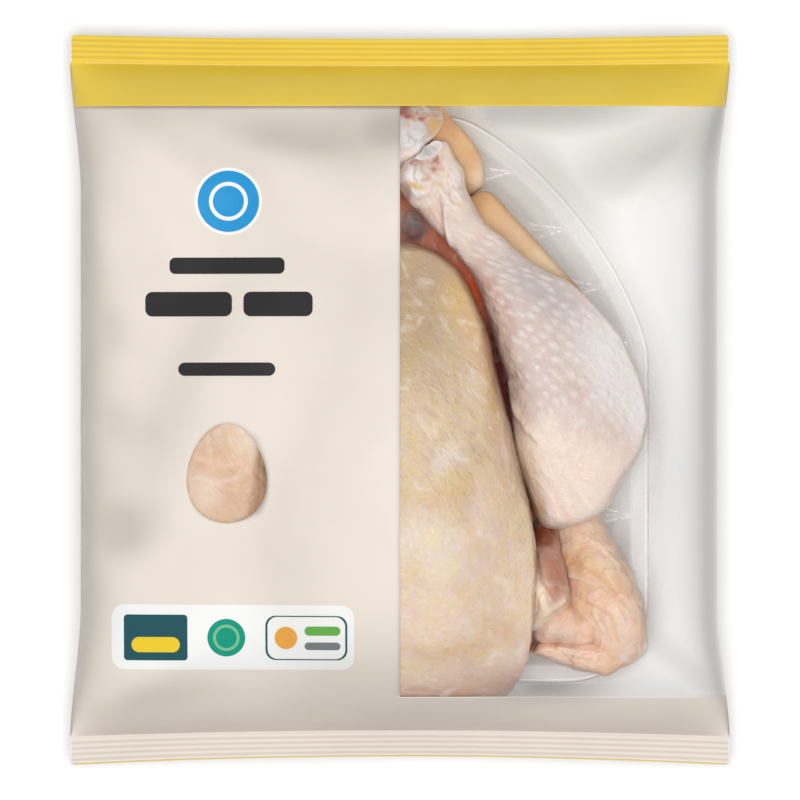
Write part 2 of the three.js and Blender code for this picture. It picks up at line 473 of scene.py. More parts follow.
def bagShares(x, y):
    # share u across and v along the flat bag; the ends are drawn in by pull (1 - u2) v to the power 4
    u = np.clip(x / bagHalfWidth(x, y), -1, 1)
    v = y / bagShape["halfLength"]
    for _ in range(5):
        pull = endPullAt(y) * (1 - u * u) * np.abs(v) ** bagShape["endPower"]
        v = (y - pull) / bagShape["halfLength"]
    return u, np.clip(v, -1, 1)


def seamHeight(u, v):
    # line where the two skins meet: low at the seals, higher at the sides, with a wave in each seal
    high, waves, shift = bagShape["sealWave"]
    wave = np.sin(2 * math.pi * (waves * u + shift * np.sign(v)))
    wave = wave * smoothStep(bagShape["waveFrom"], 1, np.abs(v))
    ease = 1 - smoothStep(bagShape["sideDropFrom"], 1, np.abs(v))
    rise = (bagShape["sideHeight"] - bagShape["sealHeight"]) * ease
    return bagShape["sealHeight"] + rise + high * wave


def moundHeight(item, x, y):
    # height times e to the minus drop r power, r the distance in half sizes
    cx, cy, across, along, height, turn = item
    p, q = turnedInto(x - cx, y - cy, turn)
    return height * np.exp(-bagShape["moundDrop"] * np.hypot(p / across, q / along) ** bagShape["moundPower"])


def foldLift(item, x, y):
    # bell across the line of the fold, sine squared along it
    x0, y0, x1, y1, wide, high = item
    length = math.hypot(x1 - x0, y1 - y0)
    s = ((x - x0) * (x1 - x0) + (y - y0) * (y1 - y0)) / length ** 2
    d = ((x - x0) * (y1 - y0) - (y - y0) * (x1 - x0)) / length
    return high * np.exp(-(d / wide) ** 2) * np.sin(math.pi * np.clip(s, 0, 1)) ** 2


def frontSkin(x, y):
    # upper film: over the tray and the heap of the contents, pressed flat and crimped in the seals
    u, v = bagShares(x, y)
    seam = seamHeight(u, v)
    w = np.minimum(1, np.abs(v) / bodyShare)
    across, along = bagShape["trayEdgePower"]
    share = np.sqrt(np.maximum(0, 1 - np.abs(u) ** across)) * np.maximum(0, 1 - w ** along)
    overTray = seam + (bagShape["trayFilmHeight"] - seam) * share
    heap = np.zeros(np.shape(x))
    for item in bagShape["contents"]:
        heap = smoothMax(heap, moundHeight(item, x, y), bagShape["skinBlend"])
    blend = bagShape["skinBlend"] * np.maximum(share, 0.001)
    over = smoothMax(overTray, seam + (heap - seam) * share, blend)
    lift = sum(foldLift(item, x, y) for item in bagShape["folds"])
    body = np.maximum(seam, over + lift * share)
    return np.where(np.abs(v) >= bodyShare, seam + sealProfile(u, v) + sealRidge(v), body)


def backSkin(x, y):
    # lower film: flat on the floor under the tray, rising to the seam all round
    u, v = bagShares(x, y)
    seam = seamHeight(u, v)
    w = np.minimum(1, np.abs(v) / bodyShare)
    across, along = bagShape["basePower"]
    share = np.sqrt(np.maximum(0, 1 - np.abs(u) ** across) * np.maximum(0, 1 - w ** along))
    body = smoothMax(seam * (1 - bagShape["baseFlatness"] * share), 0, bagShape["baseBlend"])
    return np.where(np.abs(v) >= bodyShare, seam - sealProfile(u, v) + sealRidge(v), body)


def sealProfile(u, v):
    # half the thickness of a seal, down to nothing at its free edges
    return bagShape["weldHalf"] * (1 - np.abs(u) ** 60) * (1 - np.abs(v) ** 300)


def sealRidge(v):
    # crimp ridges: sine squared of the distance into the seal
    into = (np.abs(v) - bodyShare) * bagShape["halfLength"]
    return bagShape["crimpHeight"] * np.sin(math.pi * into / bagShape["crimpPitch"]) ** 2


filmGrid = {
    "columns": 150, "bodyRows": 150, "endRows": 26, "sealRows": 40,
    "stripeRows": 2, "evenShare": 0.55,
}


def filmRows():
    # y at the middle and at the sides of every row: seal rows are drawn in, print lines are straight
    half = bagShape["halfLength"]
    seal = np.linspace(1, bodyShare, filmGrid["sealRows"] + 1)
    low, high = bagShape["endPull"]
    power = bagShape["endPower"]
    lowSeal = np.stack([-seal * half + low * seal ** power, -seal * half], -1)
    highSeal = np.stack([seal * half - high * seal ** power, seal * half], -1)[::-1]
    lowLine = np.array([[bagShape["windowLow"]] * 2])
    highLine = np.array([[bagShape["bandLine"]] * 2])
    t = np.linspace(0, 1, filmGrid["endRows"] + 1)[:, None]
    lowEnd = lowSeal[-1] + (lowLine - lowSeal[-1]) * t
    highEnd = highLine + (highSeal[0] - highLine) * t
    t = np.linspace(0, 1, filmGrid["bodyRows"] + 1)[:, None]
    body = lowLine + (highLine - lowLine) * t
    return np.concatenate([lowSeal, lowEnd[1:], body[1:], highEnd[1:], highSeal[1:]])


def filmPlan():
    # grid of plan points: columns closer together towards the side folds, the middle one at x = 0
    t = np.linspace(-1, 1, filmGrid["columns"] + 1)
    even = filmGrid["evenShare"]
    u = (even * t + (1 - even) * np.sin(t * math.pi / 2))[None, :]
    rows = filmRows()
    y = rows[:, :1] + (rows[:, 1:] - rows[:, :1]) * u * u
    side = np.sign(u) * np.ones_like(y)
    return u * bagHalfWidth(side, y), y


planX, planY = filmPlan()
frontZ = frontSkin(planX, planY)
backZ = backSkin(planX, planY)
rowStarts = {
    "lowLine": filmGrid["sealRows"] + filmGrid["endRows"],
    "bandLine": filmGrid["sealRows"] + filmGrid["endRows"] + filmGrid["bodyRows"],
    "top": len(planX) - 1,
    "middle": filmGrid["columns"] // 2,
    "right": filmGrid["columns"],
}


def filmBlock(firstRow, lastRow, firstColumn, lastColumn, z):
    # part of the film grid as points and quads facing up
    rows, columns = slice(firstRow, lastRow + 1), slice(firstColumn, lastColumn + 1)
    points = np.stack([planX[rows, columns], planY[rows, columns], z[rows, columns]], -1)
    return points.reshape(-1, 3), gridFaces(points.shape[0], points.shape[1])


def welded(points, quads):
    # points at the same place become one
    _, first, same = np.unique(np.round(points, 4), axis=0, return_index=True, return_inverse=True)
    return points[first], same.reshape(-1)[quads]


def joinParts(parts):
    # several sets of points and quads as one
    shift = np.cumsum([0] + [len(p) for p, _ in parts])
    points = np.concatenate([p for p, _ in parts])
    quads = np.concatenate([q + s for (_, q), s in zip(parts, shift)])
    return points, quads


def crimpShadeMark(points):
    # 1 in the grooves between the crimp ridges of a seal, 0 elsewhere: where painted shade darkens the film
    _, v = bagShares(points[:, 0], points[:, 1])
    into = (np.abs(v) - bodyShare) * bagShape["halfLength"]
    grooveShade = np.cos(math.pi * into / bagShape["crimpPitch"]) ** 6
    return grooveShade * smoothStep(0.3, 1.2, into) * (1 - smoothStep(10, 10.8, into))


# painted shade patches where folds would turn the film from the light; they darken the print and the clear
# film's milk
filmShade = [  # where folds turn the film from the light: x, y, half sizes, turn, strength
    (-39, 105, 27, 9, 0, 0.72), (-5, 105, 12, 7, 0, 0.8), (-110, -50, 11, 11, -20, 0.85),
    (-114, 27, 7, 9, 0, 0.4), (-112, -8, 8, 8, 0, 0.4), (-90, -118, 26, 6, 8, 0.3), (58, 112, 48, 8, 0, 0.7),
    (98, 98, 44, 14, 26, 0.6), (56, 86, 30, 12, -40, 0.7), (56, -111, 26, 9, 0, 1),
    (-66, 88, 12, 20, 60, 0.25), (104, -98, 26, 5, -40, 0.3),
]


filmLook = {
    "drift": 38, "crinkle": (7, 35, 2.5), "grain": 0.7, "roughness": (0.36, 0.5), "shine": 0.35,
    "grooveShade": (0.8, 0.78, 0.75), "shade": (0.72, 0.71, 0.7),
}


def filmMaterial(name, colour, deep, steep=(0.78, 0.77, 0.76)):
    # satin printed film: tint drifting over a few centimetres, with painted shade where it slopes, in the
    # crimp grooves and in the fold patches
    n = Nodes(name)
    look = filmLook
    drift = n.noise(n.sized(look["drift"]), 3)
    colourOut = n.blend(n.ramp(drift, 0.35, 0.65), colour, deep)
    # painted shade: the colour darkens where the film slopes
    colourOut = n.blend(n.ramp(n.level(), 0.94, 0.35), colourOut, steep, "MULTIPLY")
    # painted shade in the crimp grooves
    colourOut = n.blend(n.attribute("crimp"), colourOut, look["grooveShade"], "MULTIPLY")
    # painted shade from the fold patches
    colourOut = n.blend(n.attribute("shade"), colourOut, look["shade"], "MULTIPLY")
    crinkle = n.noise(n.sized(*look["crinkle"]), 3, 0.55, 0.6)
    grain = n.noise(n.sized(look["grain"]), 2)
    normal = n.bump(crinkle, 0.35, 0.18)
    normal = n.bump(grain, 0.02, 0.25, normal)
    shader = n.add("ShaderNodeBsdfPrincipled")
    rough = n.ramp(crinkle, 0.3, 0.7, *look["roughness"])
    n.fill(shader, **{"Base Color": colourOut, "Roughness": rough, "Normal": normal})
    shader.inputs["Specular IOR Level"].default_value = look["shine"]
    return n.finish(shader.outputs[0])


# Egg-shaped clear opening in the print, showing the skin under it

eggWindow = {
    "x": -67.5, "y": -28.5, "across": 15.5, "along": 19.5, "taper": 0.16,
    "margin": 5, "rings": 10, "borderRings": 5,
}


def eggEdge(angle):
    # ellipse that narrows towards its top: x times 1 - taper sin
    x = eggWindow["across"] * np.cos(angle) * (1 - eggWindow["taper"] * np.sin(angle))
    y = eggWindow["along"] * np.sin(angle)
    return eggWindow["x"] + x, eggWindow["y"] + y


def eggFilm():
    # rings from the centre to the egg, then from the egg out to the block of the grid that it sits in
    centreX, centreY = eggWindow["x"], eggWindow["y"]
    reachX = eggWindow["across"] + eggWindow["margin"]
    reachY = eggWindow["along"] + eggWindow["margin"]
    row = planX[rowStarts["lowLine"] + filmGrid["bodyRows"] // 2]
    i0, i1 = np.searchsorted(row, [centreX - reachX, centreX + reachX])
    j0, j1 = np.searchsorted(planY[:, i0], [centreY - reachY, centreY + reachY])
    bottom = [(j0, i) for i in range(i0, i1)]
    right = [(j, i1) for j in range(j0, j1)]
    top = [(j1, i) for i in range(i1, i0, -1)]
    left = [(j, i0) for j in range(j1, j0, -1)]
    ring = np.array(bottom + right + top + left)
    frameX, frameY = planX[ring[:, 0], ring[:, 1]], planY[ring[:, 0], ring[:, 1]]
    taper = 1 - eggWindow["taper"] * (frameY - centreY) / reachY
    angle = np.arctan2(
        (frameY - centreY) / eggWindow["along"], (frameX - centreX) / eggWindow["across"] / taper)
    edgeX, edgeY = eggEdge(angle)
    inner = np.linspace(0, 1, eggWindow["rings"] + 1)[1:, None]
    outer = np.linspace(0, 1, eggWindow["borderRings"])[:, None]
    capX = centreX + (edgeX - centreX) * inner
    capY = centreY + (edgeY - centreY) * inner
    ringX = edgeX + (frameX - edgeX) * outer
    ringY = edgeY + (frameY - edgeY) * outer
    cap = np.stack([capX, capY, frontSkin(capX, capY)], -1).reshape(-1, 3)
    border = np.stack([ringX, ringY, frontSkin(ringX, ringY)], -1).reshape(-1, 3)
    height = frontSkin(np.array(centreX), np.array(centreY))
    centre = np.array([[centreX, centreY, height]], float)
    count = len(ring)
    around = np.arange(count)
    fans = np.stack([np.full(count, len(cap)), around, (around + 1) % count], -1)
    cap = np.concatenate([cap, centre])
    capFaces = gridFaces(len(inner), count, True)[:, ::-1]
    borderFaces = gridFaces(len(outer), count, True)[:, ::-1]
    return (i0, i1, j0, j1), (cap, capFaces, fans), (border, borderFaces)


def creamFilm():
    # everything below the window, and the left half up to the yellow band round the egg opening
    (i0, i1, j0, j1), egg, border = eggFilm()
    low, band = rowStarts["lowLine"], rowStarts["bandLine"]
    parts = [
        filmBlock(filmGrid["stripeRows"], low, 0, rowStarts["right"], frontZ),
        filmBlock(low, j0, 0, rowStarts["middle"], frontZ),
        filmBlock(j1, band, 0, rowStarts["middle"], frontZ),
        filmBlock(j0, j1, 0, i0, frontZ),
        filmBlock(j0, j1, i1, rowStarts["middle"], frontZ),
        border,
    ]
    points, quads = welded(*joinParts(parts))
    material = filmMaterial("creamPrintedFilm", tone(238, 228, 217), tone(234, 224, 214))
    marks = {"crimp": crimpShadeMark(points), "shade": markOf(points, filmShade)}
    piece = makePiece("filmCream", points, quads, noFans, material, marks,
                      thickness=bagShape["filmThickness"], letsLightIn=True)
    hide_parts("bag")
    return egg


def yellowFilm():
    # wide band with the top seal, and a stripe along the edge of the bottom seal
    points, quads = joinParts([
        filmBlock(rowStarts["bandLine"], rowStarts["top"], 0, rowStarts["right"], frontZ),
        filmBlock(0, filmGrid["stripeRows"], 0, rowStarts["right"], frontZ),
    ])
    material = filmMaterial("yellowPrintedFilm", tone(243, 211, 80), tone(240, 207, 75), (0.98, 0.97, 0.74))
    marks = {"crimp": crimpShadeMark(points)}
    piece = makePiece("filmYellow", points, quads, noFans, material, marks,
                      thickness=bagShape["filmThickness"], letsLightIn=True)
    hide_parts("bag")


def backFilm():
    # underside in one sheet, cream outside and paler within
    points, quads = filmBlock(0, rowStarts["top"], 0, rowStarts["right"], backZ)
    outside = filmMaterial("creamFilmUnderside", tone(240, 229, 218), tone(236, 225, 214))
    inside = filmMaterial("paleFilmInside", tone(250, 249, 248), tone(247, 246, 245), (0.98, 0.98, 0.98))
    piece = makePiece("filmBack", points, quads[:, ::-1], noFans, outside,
                      thickness=bagShape["filmThickness"])
    piece.data.materials.append(inside)
    piece.modifiers["filmThickness"].material_offset = 1
    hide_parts("bag")


# Clear film

contactPatches = [  # where the film lies wet on the bird: x, y, half sizes, turn
    (0, -30, 64, 106, 0), (61, 12, 30, 66, 26), (76, -78, 22, 36, 8), (12, 96, 24, 30, 0),
    (36, 58, 26, 30, 30), (58, -58, 16, 34, 0), (70, -98, 26, 14, 0), (-66, 12, 34, 64, -26),
    (-67, -28, 30, 30, 0),
]
# the film stands free again beside the leg and wing, and its milk there is raised to cover the bird's shade:
# partly painted light
freeMilkLightPatches = [  # beside the leg and wing, where the film stands free again: x, y, half sizes, turn, haze
    (95, -30, 6, 22, -22, 0.34), (95, -64, 5, 14, 8, 0.3),
]
clearFilm = {
    "hazeTouching": 0.004, "hazeInTray": 0.36, "hazeFree": 0.58, "hazeSteep": 0.8, "hazeShaded": 0.95,
    "headHalf": 30, "milk": (0.88, 0.87, 0.86),
    "slopeShadeMilk": (0.5, 0.495, 0.49), "paintedShadeMilk": (0.42, 0.41, 0.4),
    "roughness": 0.3, "gloss": (0.08, 0.4), "glossRoughness": 0.32, "ripple": (11, 25, 2.2),
}


def filmHaze(points):
    # clear where the film touches the bird, thin over the tray, milky where it stands free outside it
    x, y = points[:, 0], points[:, 1]
    touch = np.zeros(len(points))
    for cx, cy, across, along, turn in contactPatches:
        p, q = turnedInto(x - cx, y - cy, turn)
        touch = np.maximum(touch, 1 - smoothStep(0.8, 1.3, np.hypot(p / across, q / along)))
    outside = np.abs(x) - trayHalfWidth(y)
    ends = smoothStep(-5, 3, y - tray["rimLow"]) * smoothStep(-5, 3, tray["rimTop"] - y)
    within = (1 - smoothStep(-1, 12, outside)) * ends
    touch *= 1 - smoothStep(0, 10, np.abs(x) - np.maximum(trayHalfWidth(y), clearFilm["headHalf"]))
    free = clearFilm["hazeFree"] + (clearFilm["hazeInTray"] - clearFilm["hazeFree"]) * within
    haze = free + (clearFilm["hazeTouching"] - free) * touch
    # milk raised in the listed patches, partly painted light over the bird's shade
    return np.maximum(haze, markOf(points, freeMilkLightPatches))


def clearFilmMaterial():
    # mostly see-through; milky where it stands free; painted shade makes the milk greyer and denser where it
    # slopes and in the fold patches; a thin gloss
    n = Nodes("clearWindowFilm")
    normal = n.bump(n.noise(n.sized(*clearFilm["ripple"]), 3, 0.5, 0.8), 0.5, 0.2)
    free = n.ramp(n.attribute("haze"), clearFilm["hazeTouching"], clearFilm["hazeFree"])
    steep = n.ramp(n.level(), 0.9, 0.45)
    clear = n.add("ShaderNodeBsdfTransparent")
    milk = n.add("ShaderNodeBsdfPrincipled")
    # painted shade: the milk greys where the film slopes and in the fold patches
    grey = n.blend(steep, clearFilm["milk"], clearFilm["slopeShadeMilk"])
    grey = n.blend(n.attribute("shade"), grey, clearFilm["paintedShadeMilk"], "MULTIPLY")
    n.fill(milk, **{"Base Color": grey, "Roughness": clearFilm["roughness"], "Normal": normal})
    body = n.add("ShaderNodeMixShader")
    slope = n.maths("MULTIPLY", steep, n.maths("MULTIPLY", free, clearFilm["hazeSteep"]))
    rest = n.maths("MULTIPLY", slope, n.maths("SUBTRACT", 1.0, n.attribute("haze")))
    shaded = n.maths("MULTIPLY", free, n.maths("MULTIPLY", n.attribute("shade"), clearFilm["hazeShaded"]))
    n.fill(body, Fac=n.maths("MAXIMUM", n.maths("ADD", n.attribute("haze"), rest), shaded))
    n.join(clear.outputs[0], body.inputs[1])
    n.join(milk.outputs[0], body.inputs[2])
    gloss = n.add("ShaderNodeBsdfGlossy")
    n.fill(gloss, Color=(1, 1, 1, 1), Roughness=clearFilm["glossRoughness"], Normal=normal)
    facing = n.add("ShaderNodeFresnel")
    n.fill(facing, IOR=1.42, Normal=normal)
    skin = n.add("ShaderNodeMixShader")
    n.fill(skin, Fac=n.maths("MULTIPLY", facing.outputs[0], n.ramp(free, 0.0, 1.0, *clearFilm["gloss"])))
    n.join(body.outputs[0], skin.inputs[1])
    n.join(gloss.outputs[0], skin.inputs[2])
    return n.finish(skin.outputs[0])


def windowFilm(egg):
    # the clear half of the front, and the egg opening
    points, quads = filmBlock(
        rowStarts["lowLine"], rowStarts["bandLine"], rowStarts["middle"], rowStarts["right"], frontZ)
    capPoints, capQuads, capFans = egg
    fans = capFans + len(points)
    points, quads = joinParts([(points, quads), (capPoints, capQuads)])
    marks = {"haze": filmHaze(points), "shade": markOf(points, filmShade)}
    piece = makePiece("filmWindow", points, quads, fans, clearFilmMaterial(), marks,
                      letsLightIn=True)
    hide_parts("bag")


windowFilm(creamFilm())
yellowFilm()
backFilm()
print("film made")


# Print: plain fields of colour a little above the film

def roundedBox(x, y, wide, tall, corner, count=96):
    # outline of a box with rounded corners, counter-clockwise
    angle = np.linspace(0, 2 * math.pi, count, endpoint=False) + math.pi / 4
    c, s = np.cos(angle), np.sin(angle)
    quarter = np.stack([np.sign(c) * (wide / 2 - corner), np.sign(s) * (tall / 2 - corner)], -1)
    arc = np.stack([c, s], -1) * corner
    return np.array([x, y]) + quarter + arc


def disc(x, y, radius, count=72):
    # outline of a circle
    angle = np.linspace(0, 2 * math.pi, count, endpoint=False)
    return np.stack([x + radius * np.cos(angle), y + radius * np.sin(angle)], -1)


printPoints = 160  # round the outline of a field


def spreadField(outline, rings=9, inner=0.0):
    # rings between the outline and its own copy at the inner share of its size, laid on the film
    outline = alongEvenly(outline, printPoints)
    centre = outline.mean(0)
    share = np.linspace(inner, 1, rings + 1)[(0 if inner else 1):, None, None]
    plan = centre + (outline - centre) * share
    z = frontSkin(plan[..., 0], plan[..., 1])
    points = np.concatenate([plan, z[..., None]], -1).reshape(-1, 3)
    quads = gridFaces(len(share), len(outline), True)[:, ::-1]
    fans = noFans
    if not inner:
        around = np.arange(len(outline))
        fans = np.stack([np.full(len(outline), len(points)), around, np.roll(around, -1)], -1)
        middle = [*centre, float(frontSkin(centre[0], centre[1]))]
        points = np.concatenate([points, [middle]])
    return points, quads, fans


def printFields(name, colour, lift, fields):
    # all fields of one ink as one piece
    points, quads, fans, shift = [], [], [], 0
    for field in fields:
        p, q, f = spreadField(*field)
        points.append(p + [0, 0, lift])
        quads.append(q + shift)
        fans.append(f + shift)
        shift += len(p)
    material = filmMaterial(name + "Ink", tone(*colour), tone(*colour) * 0.97)
    makePiece(name, np.concatenate(points), np.concatenate(quads), np.concatenate(fans), material,
              letsLightIn=True)


panel = {"x": -65.3, "y": -92.6, "wide": 95, "tall": 25.5}
printed = {  # screen colour, height over the film, and for each field its outline, rings and inner share
    "printWhite": ((250, 250, 248), 0.14, [
        (roundedBox(panel["x"], panel["y"], panel["wide"], panel["tall"], 5), 30),
        (disc(-67, 77.6, 13.2),),
    ]),
    "printBlue": ((20, 152, 215), 0.26, [
        (disc(-67, 77.6, 12.0),),
    ]),
    "printPale": ((246, 248, 250), 0.38, [
        (disc(-67, 77.6, 7.6), 3, 0.8),
    ]),
    "printDark": ((42, 40, 42), 0.14, [
        (roundedBox(-67.5, 52.4, 45, 6.4, 2.2),),
        (roundedBox(-82.5, 37.4, 34, 9.6, 2.8),),
        (roundedBox(-47.5, 37.4, 27, 9.6, 2.8),),
        (roundedBox(-67.5, 12.0, 38, 5.2, 2.6),),
    ]),
    "printTeal": ((28, 84, 92), 0.26, [
        (roundedBox(-95.5, -92.8, 25, 18, 1.4),),
        (roundedBox(-36.5, -92.8, 32, 17.5, 4.0), 2, 0.95),
    ]),
    "printGreen": ((0, 155, 128), 0.26, [
        (disc(-67.8, -92.8, 7.4),),
    ]),
    "printLightGreen": ((126, 196, 148), 0.38, [
        (disc(-67.8, -92.8, 5.2), 3, 0.78),
    ]),
    "printYellow": ((243, 208, 40), 0.38, [
        (roundedBox(-95.5, -95.6, 19, 6, 3.0),),
    ]),
    "printAmber": ((240, 170, 70), 0.26, [
        (disc(-44.5, -92.8, 4.4),),
    ]),
    "printLeaf": ((105, 178, 70), 0.26, [
        (roundedBox(-30.2, -90.0, 14, 3.6, 1.8),),
    ]),
    "printGrey": ((120, 126, 130), 0.26, [
        (roundedBox(-30.2, -96.0, 14, 3.0, 1.5),),
    ]),
}
for printName, (colour, lift, fields) in printed.items():
    printFields(printName, colour, lift, fields)
print("print made")


# Bird: closed rounded forms, each lofted between two rails

bird = {
    "clearance": 0.7, "filmBlend": 5, "wallGap": 0.8, "wallBlend": 3, "floorHeight": 5.2, "floorBlend": 2,
    "wander": [(0.7, 3.1, 201, 203), (0.5, 7, 202, 204)],  # patches wander by, over, seeds for x and y
}

palette = {  # screen colours of raw skin, fat, bone and flesh
    "pale": (252, 238, 218), "tan": (192, 168, 139), "sand": (218, 198, 172), "straw": (216, 186, 140),
    "cream": (236, 222, 208), "rose": (228, 205, 190), "oat": (238, 219, 197), "umber": (200, 162, 120),
    "blush": (238, 218, 202), "lilac": (218, 200, 194), "mist": (242, 239, 239), "slate": (193, 187, 186),
    "mauve": (190, 132, 112), "peach": (244, 225, 213), "apricot": (224, 184, 141), "amber": (204, 155, 110),
    "bone": (222, 216, 214), "fat": (222, 182, 120), "salmon": (244, 207, 186), "blood": (172, 62, 60),
    "flesh": (184, 112, 90), "brown": (132, 66, 38), "rust": (150, 66, 34), "deep": (130, 16, 6),
    "grey": (118, 108, 108), "ember": (204, 84, 22), "honey": (220, 176, 124),
}


def underFilm(points):
    # z held under the film, rounded over where the bird presses on it
    limit = frontSkin(points[..., 0], points[..., 1]) - bird["clearance"]
    return smoothMin(points[..., 2], limit, bird["filmBlend"])


def insideTray(points):
    # below the rim the bird's side is held inside the tray's wall
    need = np.interp(points[..., 2], trayProfile[::-1, 1], trayProfile[::-1, 0], left=20, right=-30)
    limit = trayHalfWidth(points[..., 1]) - need - bird["wallGap"]
    held = smoothMin(np.abs(points[..., 0]), np.maximum(limit, 10), bird["wallBlend"])
    return np.sign(points[..., 0]) * held


def swapped(station):
    # a station as seen from the far side of a pole: rails and heights change places
    return station[[2, 3, 0, 1, 5, 4]]


def loftRings(form):
    # rows of left rail x, y, right rail x, y, top and bottom height, as even steps of a smooth curve
    stations = np.array(form["stations"], float)
    knots = np.concatenate([[swapped(stations[1])], stations, [swapped(stations[-2])]])
    fine = np.linspace(1, len(stations), 60 * len(stations))
    table = splineThrough(knots, fine)
    step = np.abs(np.diff(table, axis=0)).max(1)
    length = np.concatenate([[0], np.cumsum(step)])
    at = np.linspace(0, length[-1], int(length[-1] / form["step"]) + 2)
    return splineThrough(knots, np.interp(at, length, fine))


def loftForm(form):
    # ring: middle of the rails + half their gap cos + half the height sin, both to the power 2 / power
    rows = loftRings(form)
    angle = np.linspace(0, 2 * math.pi, form["around"], endpoint=False)
    bend = 2 / form["power"]
    c, s = np.cos(angle), np.sin(angle)
    c, s = np.sign(c) * np.abs(c) ** bend, np.sign(s) * np.abs(s) ** bend
    left, right, top, low = rows[:, 0:2], rows[:, 2:4], rows[:, 4], rows[:, 5]
    plan = (left + right)[:, None] / 2 + (right - left)[:, None] / 2 * c[None, :, None]
    z = ((top + low)[:, None] + (top - low)[:, None] * s[None, :]) / 2
    return np.concatenate([plan, z[..., None]], -1)


def surfaceNormals(rings):
    # cross product of the steps along and around the form
    along = np.gradient(rings, axis=0)
    around = np.roll(rings, -1, 1) - np.roll(rings, 1, 1)
    normal = np.cross(around, along)
    normal /= np.linalg.norm(normal, axis=-1, keepdims=True) + 1e-9
    centre = rings.mean(1, keepdims=True)
    facing = np.sign(np.sum(normal * (rings - centre), axis=-1).mean())
    return normal * facing


def strokeShare(x, y, wide, line):
    # bell across the nearest stretch of a line of points
    near = np.full(np.shape(x), 1e9)
    for (x0, y0), (x1, y1) in zip(line[:-1], line[1:]):
        dx, dy = x1 - x0, y1 - y0
        t = np.clip(((x - x0) * dx + (y - y0) * dy) / (dx * dx + dy * dy), 0, 1)
        near = np.minimum(near, np.hypot(x - x0 - t * dx, y - y0 - t * dy))
    return np.exp(-(near / wide) ** 2)


def foldShare(x, y, item):
    # narrow lines where a soft noise crosses zero, like the folds of loose skin, within a soft patch
    *patch, size, narrow, seed = item
    noise = softNoise(x, y, 0, size, seed) + 0.4 * softNoise(x, y, 0, size / 2.3, seed + 1)
    return bell(x, y, patch) * np.exp(-(noise / narrow) ** 2)


def reliefOf(rings, form):
    # lift along the normal: noise all over, noise within patches, folds, and lines of skin or creases
    x, y, z = rings[..., 0], rings[..., 1], rings[..., 2]
    lift = np.zeros(x.shape)
    for size, high, seed in form.get("relief", []):
        lift += high * softNoise(x, y, z, size, seed)
    for *patch, size, high, seed in form.get("lumps", []):
        lift += bell(x, y, patch) * high * softNoise(x, y, z, size, seed)
    for *fold, depth, _, _ in form.get("folds", []):
        lift -= depth * foldShare(x, y, fold)
    for wide, high, _, _, line in form.get("strokes", []):
        lift += high * strokeShare(x, y, wide, line)
    for *patch, depth in form.get("dents", []):
        lift -= bell(x, y, patch) * depth
    upward = smoothStep(-0.1, 0.4, surfaceNormals(rings)[..., 2]) if "dents" in form else 1
    return rings + surfaceNormals(rings) * (lift * upward)[..., None]


def paintOf(points, form):
    # base colour, then each patch and line of colour over it, then painted reddish shade low on its sides
    x, y = points[:, 0], points[:, 1]
    for far, size, seedX, seedY in bird["wander"]:
        x = x + far * softNoise(*points.T, size, seedX)
        y = y + far * softNoise(*points.T, size, seedY)
    coats = []
    for *patch, shade, strength in form.get("patches", []):
        coats.append((shade, np.minimum(bell(x, y, patch) * strength, 1)))
    for *fold, _, shade, strength in form.get("folds", []):
        coats.append((shade, foldShare(points[:, 0], points[:, 1], fold) * strength))
    for wide, _, shade, strength, line in form.get("strokes", []):
        coats.append((shade, strokeShare(x, y, wide, line) * strength))
    # painted shade: reddish where the side drops low
    if "lowShade" in form:
        low, high, shade, strength = form["lowShade"]
        coats.append((shade, (1 - smoothStep(low, high, points[:, 2])) * strength))
    colour = np.tile(tone(*palette[form["colour"]]), (len(points), 1))
    for shade, amount in coats:
        colour = colour + (tone(*palette[shade]) - colour) * amount[:, None]
    return colour


def skinPlace(rings):
    # metres along the form and, from the top of each ring, round it
    along = np.linalg.norm(np.diff(rings, axis=0), axis=-1).mean(1)
    along = np.concatenate([[0], np.cumsum(along)])[:, None] * np.ones(rings.shape[:2])
    top = rings.shape[1] // 4
    turned = np.roll(rings, -top, 1)
    steps = np.linalg.norm(np.diff(turned, axis=1, append=turned[:, :1]), axis=-1)
    length = np.concatenate([np.zeros((len(rings), 1)), np.cumsum(steps, 1)[:, :-1]], 1)
    whole = steps.sum(1)[:, None]
    around = np.roll(np.where(length > whole / 2, length - whole, length), top, 1)
    return np.stack([around, along, np.zeros_like(along)], -1) * mm


def makeForm(name, form, material):
    # loft with its relief, held between film, tray wall and tray floor, and closed by a fan at each pole
    rings = reliefOf(loftForm(form), form)
    rings[..., 2] = underFilm(rings)
    rings[..., 2] = smoothMax(rings[..., 2], bird["floorHeight"], bird["floorBlend"])
    rings[..., 0] = insideTray(rings)
    count = rings.shape[1]
    poles = [rings[0].mean(0), rings[-1].mean(0)]
    inner = rings[1:-1]
    points = np.concatenate([inner.reshape(-1, 3), poles])
    quads = gridFaces(len(inner), count, True)
    around = np.arange(count)
    last = around + (len(inner) - 1) * count
    firstFan = np.stack([np.full(count, len(points) - 2), np.roll(around, -1), around], -1)
    lastFan = np.stack([np.full(count, len(points) - 1), last, np.roll(last, -1)], -1)
    quads, fans = outward(points, quads, np.concatenate([firstFan, lastFan]))
    place = skinPlace(rings)
    marks = {
        "skinPlace": np.concatenate([place[1:-1].reshape(-1, 3), place[[0, -1], 0]]),
        "paint": paintOf(points, form),
        "spots": markOf(points, form.get("spots", [])),
        "creases": markOf(points, form.get("creases", [])),
    }
    return makePiece(name, points, quads, fans, material, marks)


